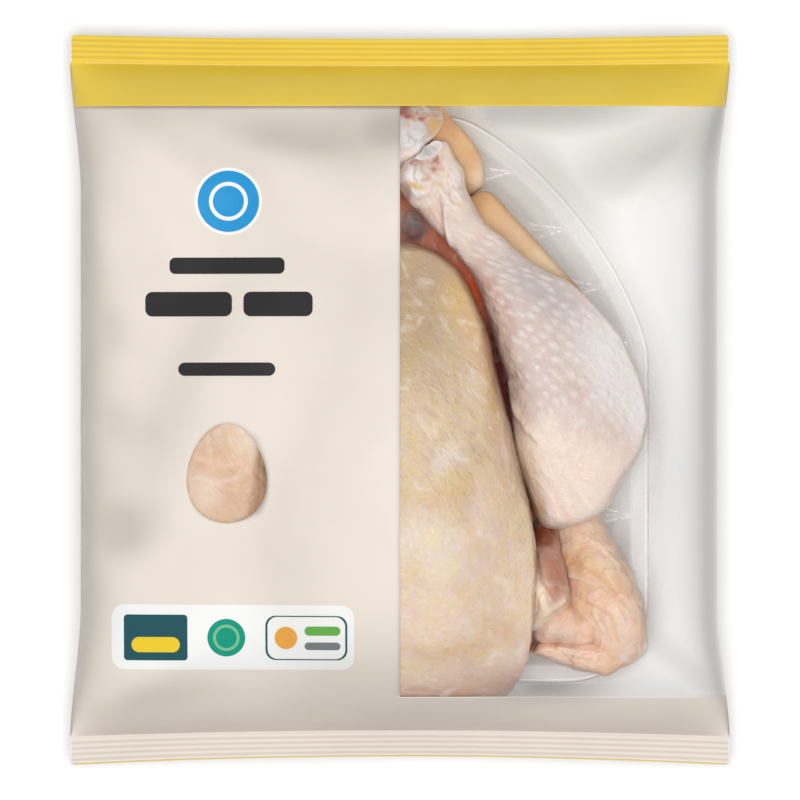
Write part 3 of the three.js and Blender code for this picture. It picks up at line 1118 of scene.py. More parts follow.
def mirrored(form, **changes):
    # the same form on the other side of the bird, with a coarser mesh: only the egg opening shows it
    other = dict(form)
    other["stations"] = [(-x1, y1, -x0, y0, top, low) for x0, y0, x1, y1, top, low in form["stations"]]
    for key in ("patches", "spots", "creases", "dents", "lumps", "folds"):
        if key in form:
            other[key] = [(-x, y, a, b, -turn, *rest) for x, y, a, b, turn, *rest in form[key]]
    if "strokes" in form:
        other["strokes"] = [(*look, [(-x, y) for x, y in line]) for *look, line in form["strokes"]]
    other["relief"] = [(size, high, seed + 40) for size, high, seed in form.get("relief", [])]
    other["step"] = form["step"] * 1.7
    other["around"] = form["around"] * 6 // 10
    other.update(changes)
    return other


skinLook = {
    "mottle": 9, "cool": (1.0, 0.955, 0.95), "warm": (1.03, 1.005, 0.89), "lumps": 0.5,
    "flushSize": (3.4, 20, 1.5), "flushing": 0.4, "flush": (0.99, 0.89, 0.86),
    "marbleSize": (8, 30, 1.6), "marble": 0.3, "pale": tuple(tone(246, 232, 218)), "yolk": (1.0, 0.88, 0.66),
    "spotSize": 5.0, "spotTint": 0.45, "spot": tuple(tone(244, 236, 232)), "spotDepth": 0.5, "faintSize": 7.5,
    "wrinkleSize": (3.2, 35, 2.2), "wrinkle": 0.35, "poreSize": (1.3, 30, 1.3), "poreDepth": 0.7,
    "creaseSize": 1.9, "creaseTurn": 42, "creaseStretch": 3.4,
    "creaseTint": 0.34, "crease": (0.84, 0.74, 0.62),
    "grainSize": 0.9, "grain": 0.5, "grainTint": (0.88, 0.83, 0.78),
    "wetSize": 6.5, "roughness": (0.34, 0.52), "soft": 0.12, "softRadius": (1.0, 0.45, 0.28), "shine": 0.4,
    "coat": 0.3, "coatRoughness": 0.12,
}


def skinMaterial(name, **changes):
    # painted colour, mottled pink and yellow, with follicle spots, pores, wrinkles and creases in the bump;
    # the creases also darkened as painted shade
    look = {**skinLook, **changes}
    n = Nodes(name)
    paint = n.attribute("paint", "Vector")
    mottle = n.noise(n.sized(look["mottle"]), 4, 0.6, 0.4)
    colour = n.blend(1.0, paint, n.blend(n.ramp(mottle, 0.36, 0.64), look["cool"], look["warm"]), "MULTIPLY")
    flush = n.noise(n.sized(*look["flushSize"]), 4, 0.65, 1.0)
    colour = n.blend(n.ramp(flush, 0.5, 0.74, 0, look["flushing"]), colour, look["flush"], "MULTIPLY")
    marble = n.noise(n.sized(*look["marbleSize"]), 5, 0.62, 0.9)
    colour = n.blend(n.ramp(marble, 0.52, 0.72, 0, look["marble"]), colour, look["pale"])
    colour = n.blend(n.ramp(marble, 0.48, 0.3, 0, look["marble"] * 1.3), colour, look["yolk"], "MULTIPLY")
    place = n.attribute("skinPlace", "Vector")
    wander = n.add("ShaderNodeTexNoise")
    n.fill(wander, Vector=n.sized(look["spotSize"] * 1.3), Scale=1.0, Detail=2.0)
    moved = n.add("ShaderNodeVectorMath", operation="MULTIPLY_ADD")
    n.join(wander.outputs["Color"], moved.inputs[0])
    moved.inputs[1].default_value = (0.6, 0.6, 0)
    n.join(n.sized(look["spotSize"], 35, 1.15, place), moved.inputs[2])
    cells = n.cells(moved.outputs[0], random=0.6, flat=True)
    faint = n.ramp(n.noise(n.sized(look["faintSize"]), 2), 0.3, 0.62, 0.25, 1.0)
    dome = n.maths("MULTIPLY", n.ramp(cells, 0.58, 0.0), faint)
    spotMark = n.maths("MULTIPLY", dome, n.attribute("spots"))
    colour = n.blend(n.maths("MULTIPLY", spotMark, look["spotTint"]), colour, look["spot"])
    pores = n.cells(n.sized(*look["poreSize"]), "SMOOTH_F1")
    strands = n.noise(n.sized(look["creaseSize"], look["creaseTurn"], look["creaseStretch"]), 2, 0.5, 0.5)
    line = n.ramp(strands, 0.5, 0.72)
    creaseMark = n.maths("MULTIPLY", line, n.attribute("creases"))
    # painted shade along the creases
    tint = n.maths("MULTIPLY", creaseMark, look["creaseTint"])
    colour = n.blend(tint, colour, look["crease"], "MULTIPLY")
    fine = n.noise(n.sized(look["grainSize"]), 3, 0.6)
    colour = n.blend(n.ramp(fine, 0.4, 0.7, 0, 0.14), colour, look["grainTint"], "MULTIPLY")
    wrinkle = n.noise(n.sized(*look["wrinkleSize"]), 3, 0.6, 0.6)
    normal = n.bump(mottle, 1.4, look["lumps"])
    normal = n.bump(wrinkle, 0.7, look["wrinkle"], normal)
    normal = n.bump(pores, 0.3, look["poreDepth"], normal)
    normal = n.bump(n.maths("MULTIPLY", creaseMark, -1.0), 0.6, 0.6, normal)
    normal = n.bump(spotMark, 1.0, look["spotDepth"], normal)
    normal = n.bump(fine, 0.15, look["grain"], normal)
    shader = n.add("ShaderNodeBsdfPrincipled")
    wet = n.ramp(n.noise(n.sized(look["wetSize"]), 3), 0.35, 0.65, *look["roughness"])
    n.fill(shader, **{"Base Color": colour, "Roughness": wet, "Normal": normal})
    n.fill(shader, **{"Subsurface Weight": look["soft"], "Subsurface Scale": 0.004})
    shader.inputs["Subsurface Radius"].default_value = look["softRadius"]
    shader.inputs["Specular IOR Level"].default_value = look["shine"]
    shader.inputs["Coat Weight"].default_value = look["coat"]
    shader.inputs["Coat Roughness"].default_value = look["coatRoughness"]
    n.join(normal, shader.inputs["Coat Normal"])
    return n.finish(shader.outputs[0])


breastSkin = skinMaterial("breastSkin", wrinkle=0.8, coat=0.45, marble=0.42, warm=(1.04, 1.0, 0.84))
legSkin = skinMaterial(
    "legSkin", wrinkle=0.55, mottle=6, poreDepth=0.4, coat=0.5, lumps=0.6, warm=(1.01, 1.0, 0.96),
    cool=(1, 0.965, 0.965), roughness=(0.26, 0.48), spotTint=0.66, marble=0.2, yolk=(1.0, 0.92, 0.86))
wingSkin = skinMaterial(
    "wingSkin", mottle=6, creaseTurn=-62, creaseStretch=3, creaseTint=0.2, poreDepth=0.3, coat=0.4,
    warm=(1.02, 1.0, 0.92))
lobeSkin = skinMaterial(
    "fattySkin", mottle=12, flushing=0.25, poreDepth=0.25, coat=0.0, roughness=(0.5, 0.7), marble=0.22)
rawFlesh = skinMaterial(
    "rawFlesh", mottle=5, flushing=0.5, poreDepth=0.1, roughness=(0.3, 0.5), coat=0.1, shine=0.15)

breast = {
    "step": 0.95, "around": 210, "power": 3.0, "colour": "sand", "lowShade": (34, 78, "rust", 0.9),
    "stations": [  # left rail x, y, right rail x, y, top, bottom
        (0, -125, 0, -125, 46, 46),
        (-24, -123.4, 24, -123.4, 66, 40),
        (-36, -120, 36, -120, 76, 36),
        (-43.5, -114.5, 43.5, -114.5, 84, 30),
        (-49.5, -103.5, 49.5, -103.5, 88, 22),
        (-52, -90, 52, -90, 95, 12),
        (-53.5, -65, 53.5, -65, 100, 7),
        (-51.5, -44, 51.5, -44, 100, 6),
        (-45, -18, 45, -18, 100, 7),
        (-38.5, 7, 38.5, 7, 98, 11),
        (-35, 24, 35, 24, 94, 16),
        (-31.2, 35, 31.2, 35, 90, 22),
        (-26.5, 45, 26.5, 45, 84, 30),
        (-20.5, 53, 20.5, 53, 78, 36),
        (-12.5, 59, 12.5, 59, 71, 42),
        (0, 62.5, 0, 62.5, 56, 56),
    ],
    "relief": [(26, 0.8, 3), (11, 0.4, 5), (4.5, 0.16, 8)],
    "lumps": [(50, -70, 5, 46, 0, 2.6, 0.5, 9), (24, -20, 22, 40, 10, 3.2, 0.3, 10)],
    # the umber patch at 35.5, 8 is painted shade along the edge by the leg; the pale patch at 14, -113 is
    # painted light that lifts the shade of the slope at the foot end
    "patches": [  # x, y, half sizes, turn, colour, strength
        (6, 48, 24, 16, 0, "tan", 0.95), (4, 28, 20, 18, 0, "tan", 0.9), (25, 40, 9, 13, 10, "straw", 0.9),
        (30, 22, 5, 16, 10, "honey", 0.4), (8, 10, 18, 10, 0, "tan", 0.3),
        (35.5, 8, 3.4, 24, 6, "umber", 0.9), (41, -28, 4, 16, 14, "mauve", 0.35),
        (10, -60, 22, 17, 0, "cream", 0.9), (36, -62, 10, 30, 0, "rose", 0.7),
        (12, -86, 28, 16, 0, "blush", 0.9), (48, -84, 8, 26, 0, "oat", 0.95),
        (14, -108, 36, 8, 0, "oat", 0.85), (38, -104, 10, 8, 20, "cream", 0.7),
        (14, -113, 40, 7, 0, "pale", 0.95), (10, -122, 28, 2.6, -4, "apricot", 0.6),
        (42, -104, 9, 12, 16, "pale", 0.8), (24, -34, 6, 8, 20, "straw", 0.6), (5, -9, 8, 9, 0, "cream", 0.1),
        (18, -98, 5, 3, 30, "straw", 0.5), (34, -88, 5, 4, -20, "straw", 0.4),
        (30, -18, 4, 7, 10, "tan", 0.4), (14, -38, 7, 5, 20, "honey", 0.3), (6, -66, 5, 9, 10, "straw", 0.3),
        (32, -44, 5, 10, 0, "mist", 0.3), (18, -22, 4, 7, -30, "mist", 0.35),
        (26, -96, 12, 5, 10, "honey", 0.35), (8, -98, 5, 3, -20, "honey", 0.4),
        (42, -90, 4, 6, 20, "honey", 0.3), (30, -47, 9, 14, 10, "mauve", 0.16),
        (31, -79, 9, 12, 0, "mauve", 0.12),
    ],
    # the rust and ember strokes along the right edge are raw-flesh reds darkened as painted shade of the gap
    # by the leg
    "strokes": [  # half width, lift, colour, strength, line of points
        (1.7, 0, "rust", 0.7,
         [(4, 63), (14, 59), (22, 53), (28, 44), (32, 35), (36, 22), (40, 4), (46, -14)]),
        (0.7, -0.7, "umber", 0.4, [(-4, -112), (8, -112.5), (20, -115), (30, -116.5)]),
        (1.5, 0, "ember", 0.8, [(42.5, -4), (46.5, -14), (49, -24), (52, -36)]),
        (0.35, 0.1, "cream", 0.8, [(24.5, 31), (29, 29.5), (33.5, 28.5)]),
        (0.4, 0.1, "cream", 0.5, [(2, 37.5), (5, 36.5), (8, 37)]),
    ],
    "spots": [(14, -78, 40, 40, 0, 0.35), (22, -24, 20, 36, 0, 0.25)],
    "creases": [
        (20, -14, 20, 36, 8, 0.85), (46, -60, 9, 60, 0, 0.5), (8, 30, 22, 26, 0, 0.4),
        (26, -98, 30, 18, 0, 0.5),
    ],
}
makeForm("breast", breast, breastSkin)

thighStations = [
    (23.5, 55, 47.5, 57, 69, 35),
    (28, 49, 57, 50.5, 72, 31),
    (31, 41.5, 67, 45.5, 75, 26),
    (35, 30, 77.5, 35.5, 78, 20),
    (38, 19, 86.5, 25, 80, 15),
    (42, 7, 94, 8.5, 81, 12),
    (43, -4, 97, -4.5, 80, 12),
    (43.5, -15, 95.5, -16, 79, 12),
    (45.5, -24, 92, -24.5, 78, 13),
    (48.2, -31.5, 87, -32.5, 76, 15),
    (50.6, -39, 83.5, -39.5, 74, 19),
    (53.6, -46.4, 78.5, -44.5, 71, 25),
    (56.8, -49.8, 71, -48.5, 64, 30),
    (63, -50.6, 63, -50.6, 46, 46),
]
legRight = {
    "step": 0.75, "around": 210, "power": 3.0, "colour": "lilac", "lowShade": (24, 52, "rust", 0.8),
    "stations": [
        (10, 97.5, 10, 97.5, 55, 55),
        (5.5, 94, 14.5, 100.5, 60, 48),
        (1.5, 92.5, 18.5, 101, 63, 43),
        (-1, 86.5, 21.5, 95, 66, 40),
        (0, 82, 25, 90, 67, 39),
        (3.5, 77, 26, 83, 66, 40),
        (7.5, 73, 29, 76.5, 66, 40),
        (12.5, 67.5, 33, 69.5, 67, 40),
        (18.5, 61.5, 40.5, 63.5, 68, 38),
    ] + thighStations,
    "relief": [(22, 1.0, 13), (9, 0.5, 15), (4, 0.2, 18)],
    "lumps": [
        (12, 88, 15, 15, 0, 5.5, 1.4, 19), (14, 86, 15, 16, 0, 2.4, 0.4, 20),
        (60, 20, 34, 50, 28, 5, 0.35, 21),
    ],
    "folds": [  # x, y, half sizes, turn, size, narrowness, seed, depth, colour, strength
        (12, 86, 13, 12, 0, 8, 0.1, 105, 1.3, "mauve", 0.55),
        (14, 82, 12, 12, 0, 4.5, 0.12, 107, 0.6, "fat", 0.4),
    ],
    "dents": [
        (5.2, 87.4, 4.2, 4.2, 0, -1.6), (8, 81, 5, 3, 0, -0.8), (12, 91.4, 5, 2, 15, 1.6),
        (2, 81, 3, 3, 0, 1.2),
    ],
    # painted light: the rose patches at 42.5, 12 and 38.5, 28 and the salmon and oat patches near 50, -24
    # lift the shade beside the breast; the mist patches at 82, 14 and 94, -4 are a painted sheen
    "patches": [
        (14, 84, 16, 14, 0, "peach", 0.85), (5.2, 87.4, 4, 4, 0, "mist", 1.3),
        (7.7, 81.1, 5, 2.6, 0, "mist", 0.9), (18.7, 97, 2.6, 2.6, 0, "oat", 1.2),
        (17, 92, 4, 5, 0, "peach", 0.8), (12.5, 90.4, 1.7, 1.0, 20, "mauve", 0.7),
        (12.4, 90.4, 0.8, 0.5, 0, "blood", 0.9), (14.6, 93, 1.0, 0.7, 30, "mauve", 0.8),
        (22, 84, 5, 9, 0, "mist", 0.5), (6.4, 83.6, 4.2, 1.3, -18, "fat", 0.95),
        (14, 78, 3, 7, 0, "rose", 0.6), (24, 77, 4, 5, 0, "oat", 0.7), (14, 71, 5, 6, -30, "rose", 0.9),
        (30, 63, 14, 9, 30, "peach", 0.5), (37, 40, 4.5, 16, 24, "mauve", 0.6),
        (32, 59, 6, 7, 30, "mauve", 0.16), (42.5, 12, 3.4, 15, 8, "rose", 1.1),
        (38.5, 28, 3.4, 12, 14, "rose", 0.9), (51, -24, 4, 9, 18, "salmon", 0.9),
        (47, -4, 4, 7, 8, "blush", 0.7), (56, 42, 20, 7, -38, "slate", 0.85),
        (62, 12, 18, 18, 0, "lilac", 0.5), (82, 14, 12, 24, 20, "mist", 0.95),
        (94, -4, 7, 14, 0, "mist", 0.95), (70, -28, 26, 17, 0, "peach", 0.95),
        (56, -14, 8, 8, 0, "peach", 0.9), (49, -24, 4, 12, 18, "oat", 0.8), (64, -44, 16, 8, 0, "peach", 0.6),
        (52.4, -42.5, 3.2, 4.5, 20, "fat", 0.7), (69, 4, 5, 4, 30, "mauve", 0.16),
        (80, -12, 7, 5, 10, "mauve", 0.14),
    ],
    "strokes": [
        (1.0, 1.3, "oat", 0.8, [(43, 7), (43.5, 1), (46, -6), (50, -12), (54, -16)]),
        (1.0, 0, "mauve", 0.3, [(26, 52), (32, 42), (36, 31)]),
        (0.8, 0.8, "mist", 0.6, [(16.6, 80), (17.2, 74), (18.2, 67), (20.5, 60)]),
        (0.8, -0.7, "mauve", 0.5, [(15.2, 80), (15.8, 74), (16.8, 67), (18.8, 60.5)]),
        (0.6, 0.5, "mist", 0.5, [(17, 93), (20, 85), (24, 78)]),
        (0.5, 0.4, "mist", 0.5, [(13, 88), (16, 82), (21, 75)]),
        (0.8, -1.2, "rust", 0.75, [(4.6, 93), (8, 92.6), (11.6, 92.8), (14.5, 94.6)]),
        (0.6, 0.5, "straw", 0.6, [(9, 86.5), (13, 85.5), (18, 81.5)]),
        (0.5, 0.2, "pale", 0.7, [(52, -30), (58, -37), (62, -46)]),
        (0.5, 0.2, "pale", 0.7, [(56, -26), (63, -35), (68, -46)]),
        (0.5, 0.2, "pale", 0.6, [(60, -22), (68, -32), (74, -42)]),
        (0.5, -0.2, "salmon", 0.6, [(54, -28), (60, -36), (65, -46)]),
    ],
    "spots": [(60, 24, 28, 44, 28, 1.0), (34, 58, 14, 14, 0, 0.8), (78, 2, 20, 22, 0, 0.9)],
    "creases": [(64, -34, 20, 14, 0, 0.5), (20, 78, 12, 14, 0, 0.5)],
}
makeForm("legRight", legRight, legSkin)

legLeft = mirrored(legRight, step=0.9, around=170)
legLeft["stations"] = [
    (17, 110, 17, 110, 54, 54),
    (15, 115, 16.5, 107.5, 58, 48),
    (9.5, 119.5, 14.5, 104, 61, 44),
    (3, 120, 10.5, 100.5, 62, 42),
    (-3, 117, 6.5, 96, 63, 40),
    (-9.5, 111, 2, 92, 64, 39),
    (-16, 102.5, -2.5, 86.5, 65, 39),
    (-21.5, 92.5, -8, 79.5, 66, 39),
    (-28.5, 82, -12.5, 72, 66, 39),
    (-36, 71.5, -17.5, 64, 67, 38),
    (-47.5, 57, -23.5, 55, 69, 35),
    (-67, 45.5, -31, 41.5, 75, 26),
    (-86.5, 25, -38, 19, 80, 15),
    (-97, -4.5, -43.5, -4, 80, 12),
    (-96, -24, -48, -24, 79, 13),
    (-91, -42, -51, -41, 74, 15),
    (-82, -54, -55, -52, 62, 22),
    (-66, -59, -66, -59, 42, 42),
]
legLeft["lumps"] = [
    (6, 106, 12, 12, 0, 6, 1.6, 22), (6, 108, 12, 12, 0, 2.6, 0.5, 23), (-68, -28, 24, 28, 0, 8, 1.6, 24)]
legLeft["folds"] = [
    (7, 108, 12, 9, 0, 7, 0.1, 109, 1.2, "mauve", 0.5), (6, 105, 12, 12, 0, 4, 0.12, 111, 0.5, "slate", 0.5)]
legLeft["dents"] = [(4.5, 100.5, 6, 7, 0, -2.2), (9, 108.8, 3.4, 2, 0, 1.4), (2, 112, 3, 3, 0, 1.2)]
legLeft["patches"] = [
    (6, 105, 14, 13, 0, "bone", 0.9), (4.5, 100.5, 5.6, 6.6, 0, "mist", 1.1),
    (7.7, 114.5, 5, 2.6, 0, "mist", 0.9), (6, 109.6, 5, 2.2, 10, "blush", 0.9),
    (1.4, 113.3, 3, 2.8, 0, "rust", 0.9), (13.6, 107.4, 3.2, 4.4, 20, "fat", 1.2),
    (8.3, 109.5, 1.4, 1.1, 0, "blood", 1.4), (3.5, 110.7, 1.9, 1.0, -10, "blood", 1.1),
    (2.6, 96, 4, 2, 30, "blush", 0.8), (-66, -26, 30, 34, 0, "apricot", 0.75),
    (-60, -16, 7, 10, 30, "oat", 0.7), (-76, -36, 7, 8, 0, "peach", 0.6),
]
legLeft["strokes"] = [
    (0.9, -0.8, "blood", 0.75, [(-1, 114), (1.5, 112.5), (3.5, 111)]),
    (0.7, -0.6, "mauve", 0.5, [(4, 111), (8, 110), (12, 111.5)]),
    (1.0, -0.9, "salmon", 0.7, [(-78, -22), (-70, -26), (-62, -24), (-54, -30)]),
    (0.9, 0.7, "peach", 0.5, [(-80, -30), (-72, -33), (-64, -30)]),
]
makeForm("legLeft", legLeft, legSkin)

hockCap = {
    "step": 0.5, "around": 70, "power": 2.2, "colour": "mist",
    "stations": [
        (5, 94, 5, 94, 62, 62),
        (8, 97, 8.5, 93.5, 67, 58),
        (11, 99.5, 13, 95, 67.5, 58),
        (14, 101, 15.5, 97.5, 66.5, 58),
        (16.5, 100, 16.5, 100, 61, 61),
    ],
    "relief": [(3, 0.5, 91), (1.4, 0.2, 92)],
    "patches": [(14, 98.5, 1.6, 1.8, 0, "rose", 0.7), (9.5, 97, 3, 3, 0, "slate", 0.9)],
    "strokes": [(0.5, -0.6, "slate", 0.7, [(12, 99.5), (14, 98), (13.5, 96)])],
}
makeForm("hockCap", hockCap, legSkin)

wingUpper = {
    "step": 0.6, "around": 170, "power": 2.3, "colour": "salmon",
    "stations": [
        (69, -39.5, 69, -39.5, 42, 42),
        (63, -45, 75.5, -42, 46, 34),
        (61.5, -52, 79.5, -47, 50, 30),
        (62, -59, 84.5, -55, 53, 28),
        (63.5, -65, 90, -64, 55, 28),
        (65.5, -71.5, 94.2, -73.5, 56, 29),
        (66.5, -78, 96, -82.5, 56, 30),
        (68.5, -85, 97, -92, 55, 31),
        (72, -93, 96.5, -99, 52, 32),
        (77, -101, 92.5, -103, 48, 34),
        (81, -105, 86.5, -105, 44, 37),
        (84.5, -106, 84.5, -106, 40, 40),
    ],
    "relief": [(14, 1.0, 23), (6, 0.6, 25), (3, 0.25, 28)],
    "folds": [
        (80, -76, 24, 36, 0, 12, 0.3, 101, 0.4, "honey", 0.3),
        (84, -92, 16, 16, 0, 7, 0.25, 103, 0.25, "rose", 0.3),
    ],
    "lumps": [(80, -76, 20, 36, 20, 4.5, 0.5, 29)],
    "patches": [
        (66, -56, 6, 8, 0, "oat", 0.8), (80, -50, 8, 6, 0, "blush", 0.8), (69, -64, 6, 6, 0, "apricot", 0.8),
        (80, -63, 7, 6, 0, "oat", 0.7), (89, -66, 5, 10, 10, "rose", 0.7), (85, -74, 6, 7, 0, "apricot", 0.3),
        (93, -78, 4, 9, 0, "oat", 0.7), (70, -84, 5, 7, 0, "apricot", 0.5), (90, -97, 7, 6, 0, "rose", 0.8),
        (92, -86.5, 1.5, 1.6, 0, "blood", 0.35), (75, -70, 5, 9, -30, "honey", 0.4),
        (84, -86, 5, 7, 0, "blush", 0.5), (88, -101, 2.4, 1.8, 0, "mist", 0.7),
    ],
    "strokes": [
        (0.55, 0.5, "cream", 0.6,
         [(76.5, -79.5), (75.5, -83.5), (77.5, -87), (80, -91.5), (78, -98.5), (80, -106)]),
        (0.9, -0.6, "apricot", 0.5, [(66, -63), (74, -66), (82, -72), (88, -80)]),
        (0.8, 0.5, "cream", 0.4, [(66, -69), (75, -71), (83, -78), (88, -88)]),
        (0.8, -0.5, "apricot", 0.5, [(68, -76), (74, -80), (82, -84), (86, -94)]),
        (0.8, 0.5, "blush", 0.4, [(70, -52), (78, -56), (86, -64)]),
    ],
    "creases": [(80, -74, 22, 42, 0, 0.6)],
}
wingLower = {
    "step": 0.6, "around": 120, "power": 2.1, "colour": "salmon",
    "stations": [
        (51.5, -99.5, 51.5, -99.5, 42, 42),
        (56, -101, 55, -95, 47, 35),
        (63.5, -104, 63, -94.5, 47, 31),
        (70, -106, 71, -94.5, 50, 31),
        (77, -107.5, 77.5, -94.5, 51, 32),
        (82, -108, 84, -96, 49, 33),
        (87, -105, 89, -99.5, 44, 36),
        (90, -103, 90, -103, 40, 40),
    ],
    "relief": [(9, 0.7, 33), (4, 0.4, 35), (2, 0.15, 36)],
    "folds": [(70, -101, 24, 9, 0, 8, 0.16, 113, 0.5, "apricot", 0.35)],
    "patches": [
        (58, -99, 5, 3, 0, "salmon", 0.6), (64, -100, 6, 4, 0, "peach", 0.6), (79, -104, 6, 4, 0, "oat", 0.4),
    ],
    "strokes": [
        (0.7, -0.5, "apricot", 0.5, [(58, -99), (66, -100), (74, -102)]),
        (0.6, 0.4, "peach", 0.5, [(62, -97), (70, -98), (78, -99)]),
    ],
    "creases": [(70, -100, 20, 8, 0, 0.8)],
}
wingMiddle = {
    "step": 0.6, "around": 120, "power": 2.2, "colour": "salmon",
    "stations": [
        (51, -91, 51, -91, 42, 42),
        (55.5, -95, 57.5, -84, 52, 34),
        (62, -95.5, 63.5, -79, 54, 30),
        (70, -96.5, 68, -79, 55, 30),
        (75.5, -95.5, 73.5, -81.5, 53, 31),
        (79, -90, 79, -90, 44, 44),
    ],
    "relief": [(9, 0.7, 43), (4, 0.3, 45)],
    "folds": [(66, -88, 16, 12, 0, 8, 0.2, 115, 0.25, "mauve", 0.2)],
    "patches": [
        (63, -89, 8, 5, 10, "rose", 0.8), (54, -88, 4, 4, 0, "cream", 0.9),
        (71, -84, 5, 5, 0, "apricot", 0.5),
    ],
    "creases": [(66, -88, 16, 10, 0, 0.5)],
}
wingWeb = {
    "step": 0.6, "around": 110, "power": 2.2, "colour": "rose",
    "stations": [
        (56, -44, 56, -44, 44, 44),
        (50.5, -52, 62, -49, 50, 28),
        (49.5, -62, 64.5, -60, 55, 28),
        (49, -72, 66, -70, 61, 29),
        (49, -81, 67, -78, 60, 30),
        (50.5, -90, 66, -86, 49, 30),
        (58, -92, 58, -92, 42, 42),
    ],
    "relief": [(9, 0.7, 53), (4, 0.3, 54)],
    "folds": [(56, -76, 9, 16, 0, 8, 0.14, 117, 0.5, "mauve", 0.3)],
    # painted shade: the brown and mauve patches at the top of the web darken it under the breast and wing;
    # painted light: the pale patch at 53, -80 lifts the breast's shade
    "patches": [
        (56, -53, 7, 7, 10, "brown", 1.2), (60, -62, 5, 8, -20, "mauve", 0.8),
        (60.5, -70, 4.5, 9, -10, "mauve", 1.1), (53, -80, 5, 12, 0, "pale", 1.3),
    ],
    "strokes": [
        (1.1, 1.0, "oat", 0.8, [(51, -89), (56, -84.5), (61, -80.5), (64, -78)]),
        (0.9, -0.8, "mauve", 0.7, [(53, -60), (55, -70), (60, -78)]),
        (0.9, 0.7, "blush", 0.6, [(51.5, -66), (53.5, -74), (56, -82)]),
    ],
}
for wingName, wingForm in (
        ("wingUpper", wingUpper), ("wingLower", wingLower), ("wingMiddle", wingMiddle), ("wingWeb", wingWeb)):
    makeForm(wingName + "Right", wingForm, wingSkin)
    makeForm(wingName + "Left", mirrored(wingForm), wingSkin)

lobeUpper = {
    "step": 0.8, "around": 130, "power": 4.5, "colour": "apricot",
    "stations": [
        (9.5, 118, 9.5, 118, 48, 48),
        (4, 115, 15.5, 115, 52, 44),
        (5.5, 108.5, 21.5, 108.5, 52, 42),
        (10, 102.5, 27, 102.5, 51, 41),
        (14, 96.5, 31, 96.5, 50, 38),
        (17.5, 90.5, 33, 90, 48, 34),
        (20.5, 85.5, 32.5, 84.5, 46, 32),
        (24, 81.5, 29.5, 81.5, 42, 33),
        (27, 80, 27, 80, 38, 38),
    ],
    "relief": [(12, 0.7, 63), (5, 0.3, 65)],
    "patches": [
        (18, 108, 7, 6, 0, "amber", 0.8), (31, 86, 5, 6, 0, "blush", 0.7),
        (32.5, 92, 1.6, 5, 10, "rose", 0.7),
    ],
    "creases": [(22, 98, 8, 14, 30, 0.3)],
}
lobeLower = {
    "step": 0.8, "around": 130, "power": 4.5, "colour": "apricot",
    "stations": [
        (25, 78, 25, 78, 40, 40),
        (23.5, 75.5, 32, 82, 46, 34),
        (27.5, 70, 37, 80.5, 49, 30),
        (33.5, 63, 43.5, 73, 50, 27),
        (41.5, 56.5, 51, 65, 50, 25),
        (49, 50.5, 58.5, 56.5, 49, 24),
        (57, 44.5, 66, 48.5, 47, 24),
        (64, 38.5, 71.5, 42, 43, 25),
        (71, 37, 71, 37, 34, 34),
    ],
    "relief": [(12, 0.6, 73), (5, 0.25, 75)],
    # painted light: the pale patch at 58, 53 lifts the shade at the lobe's edge
    "patches": [
        (30, 79, 5, 4, 0, "amber", 0.6), (46, 66, 12, 8, -40, "oat", 0.25), (58, 53, 8, 6, -40, "pale", 0.6),
        (68, 43, 4, 4, 0, "amber", 0.5),
    ],
    "creases": [(48, 62, 20, 8, 0, 0.3)],
}
for lobeName, lobeForm in (("skinLobeUpper", lobeUpper), ("skinLobeLower", lobeLower)):
    makeForm(lobeName + "Right", lobeForm, lobeSkin)
    makeForm(lobeName + "Left", mirrored(lobeForm), lobeSkin)

hockBed = {
    "step": 1.0, "around": 60, "power": 2.2, "colour": "flesh",
    "stations": [
        (-8, 88, -8, 88, 36, 36),
        (-12, 96, 0, 84, 46, 28),
        (-10, 108, 16, 90, 50, 28),
        (-2, 114, 20, 102, 50, 30),
        (10, 112, 10, 112, 40, 40),
    ],
    "relief": [(6, 0.6, 95)],
}
makeForm("hockBed", hockBed, rawFlesh)

bodyCore = {
    "step": 1.1, "around": 190, "power": 2.6, "colour": "flesh",
    "stations": [
        (0, 84, 0, 84, 36, 36),
        (-20, 80, 20, 80, 46, 24),
        (-34, 70, 34, 70, 52, 16),
        (-48, 52, 48, 52, 56, 10),
        (-62, 28, 62, 28, 56, 6),
        (-72, 0, 72, 0, 54, 5),
        (-74, -30, 74, -30, 50, 5),
        (-70, -60, 70, -60, 44, 5),
        (-64, -84, 64, -84, 40, 5),
        (-50, -100, 50, -100, 38, 7),
        (-26, -106, 26, -106, 34, 12),
        (0, -108, 0, -108, 24, 24),
    ],
    "relief": [(14, 1.4, 83), (6, 0.8, 85)],
    "dents": [(5.5, 70, 4.5, 6, 0, 14), (40, 12, 5, 18, 12, 12), (-40, 12, 5, 18, -12, 12)],
    # these show only in the gaps: the grey in the dent at 5.5, 70 is painted shade, and the deep red and
    # brown patches are raw flesh darkened as painted shade
    "patches": [
        (5.5, 70, 3.8, 5.5, 0, "grey", 0.95), (28, 42, 6, 12, 30, "ember", 0.9),
        (40, 10, 5, 20, 10, "deep", 0.95), (46, -22, 4, 14, 14, "ember", 0.8),
        (57, -52, 6, 6, 20, "brown", 1.1), (57, -66, 9, 12, 0, "mauve", 1.0),
        (-40, 10, 5, 20, -10, "deep", 0.95), (-57, -53, 4, 8, -20, "brown", 0.7),
    ],
    "creases": [(56, -62, 10, 20, 0, 0.5)],
}
makeForm("bodyCore", bodyCore, rawFlesh)
print("bird made")


# Studio: pale floor, soft light from above and a long lens straight down

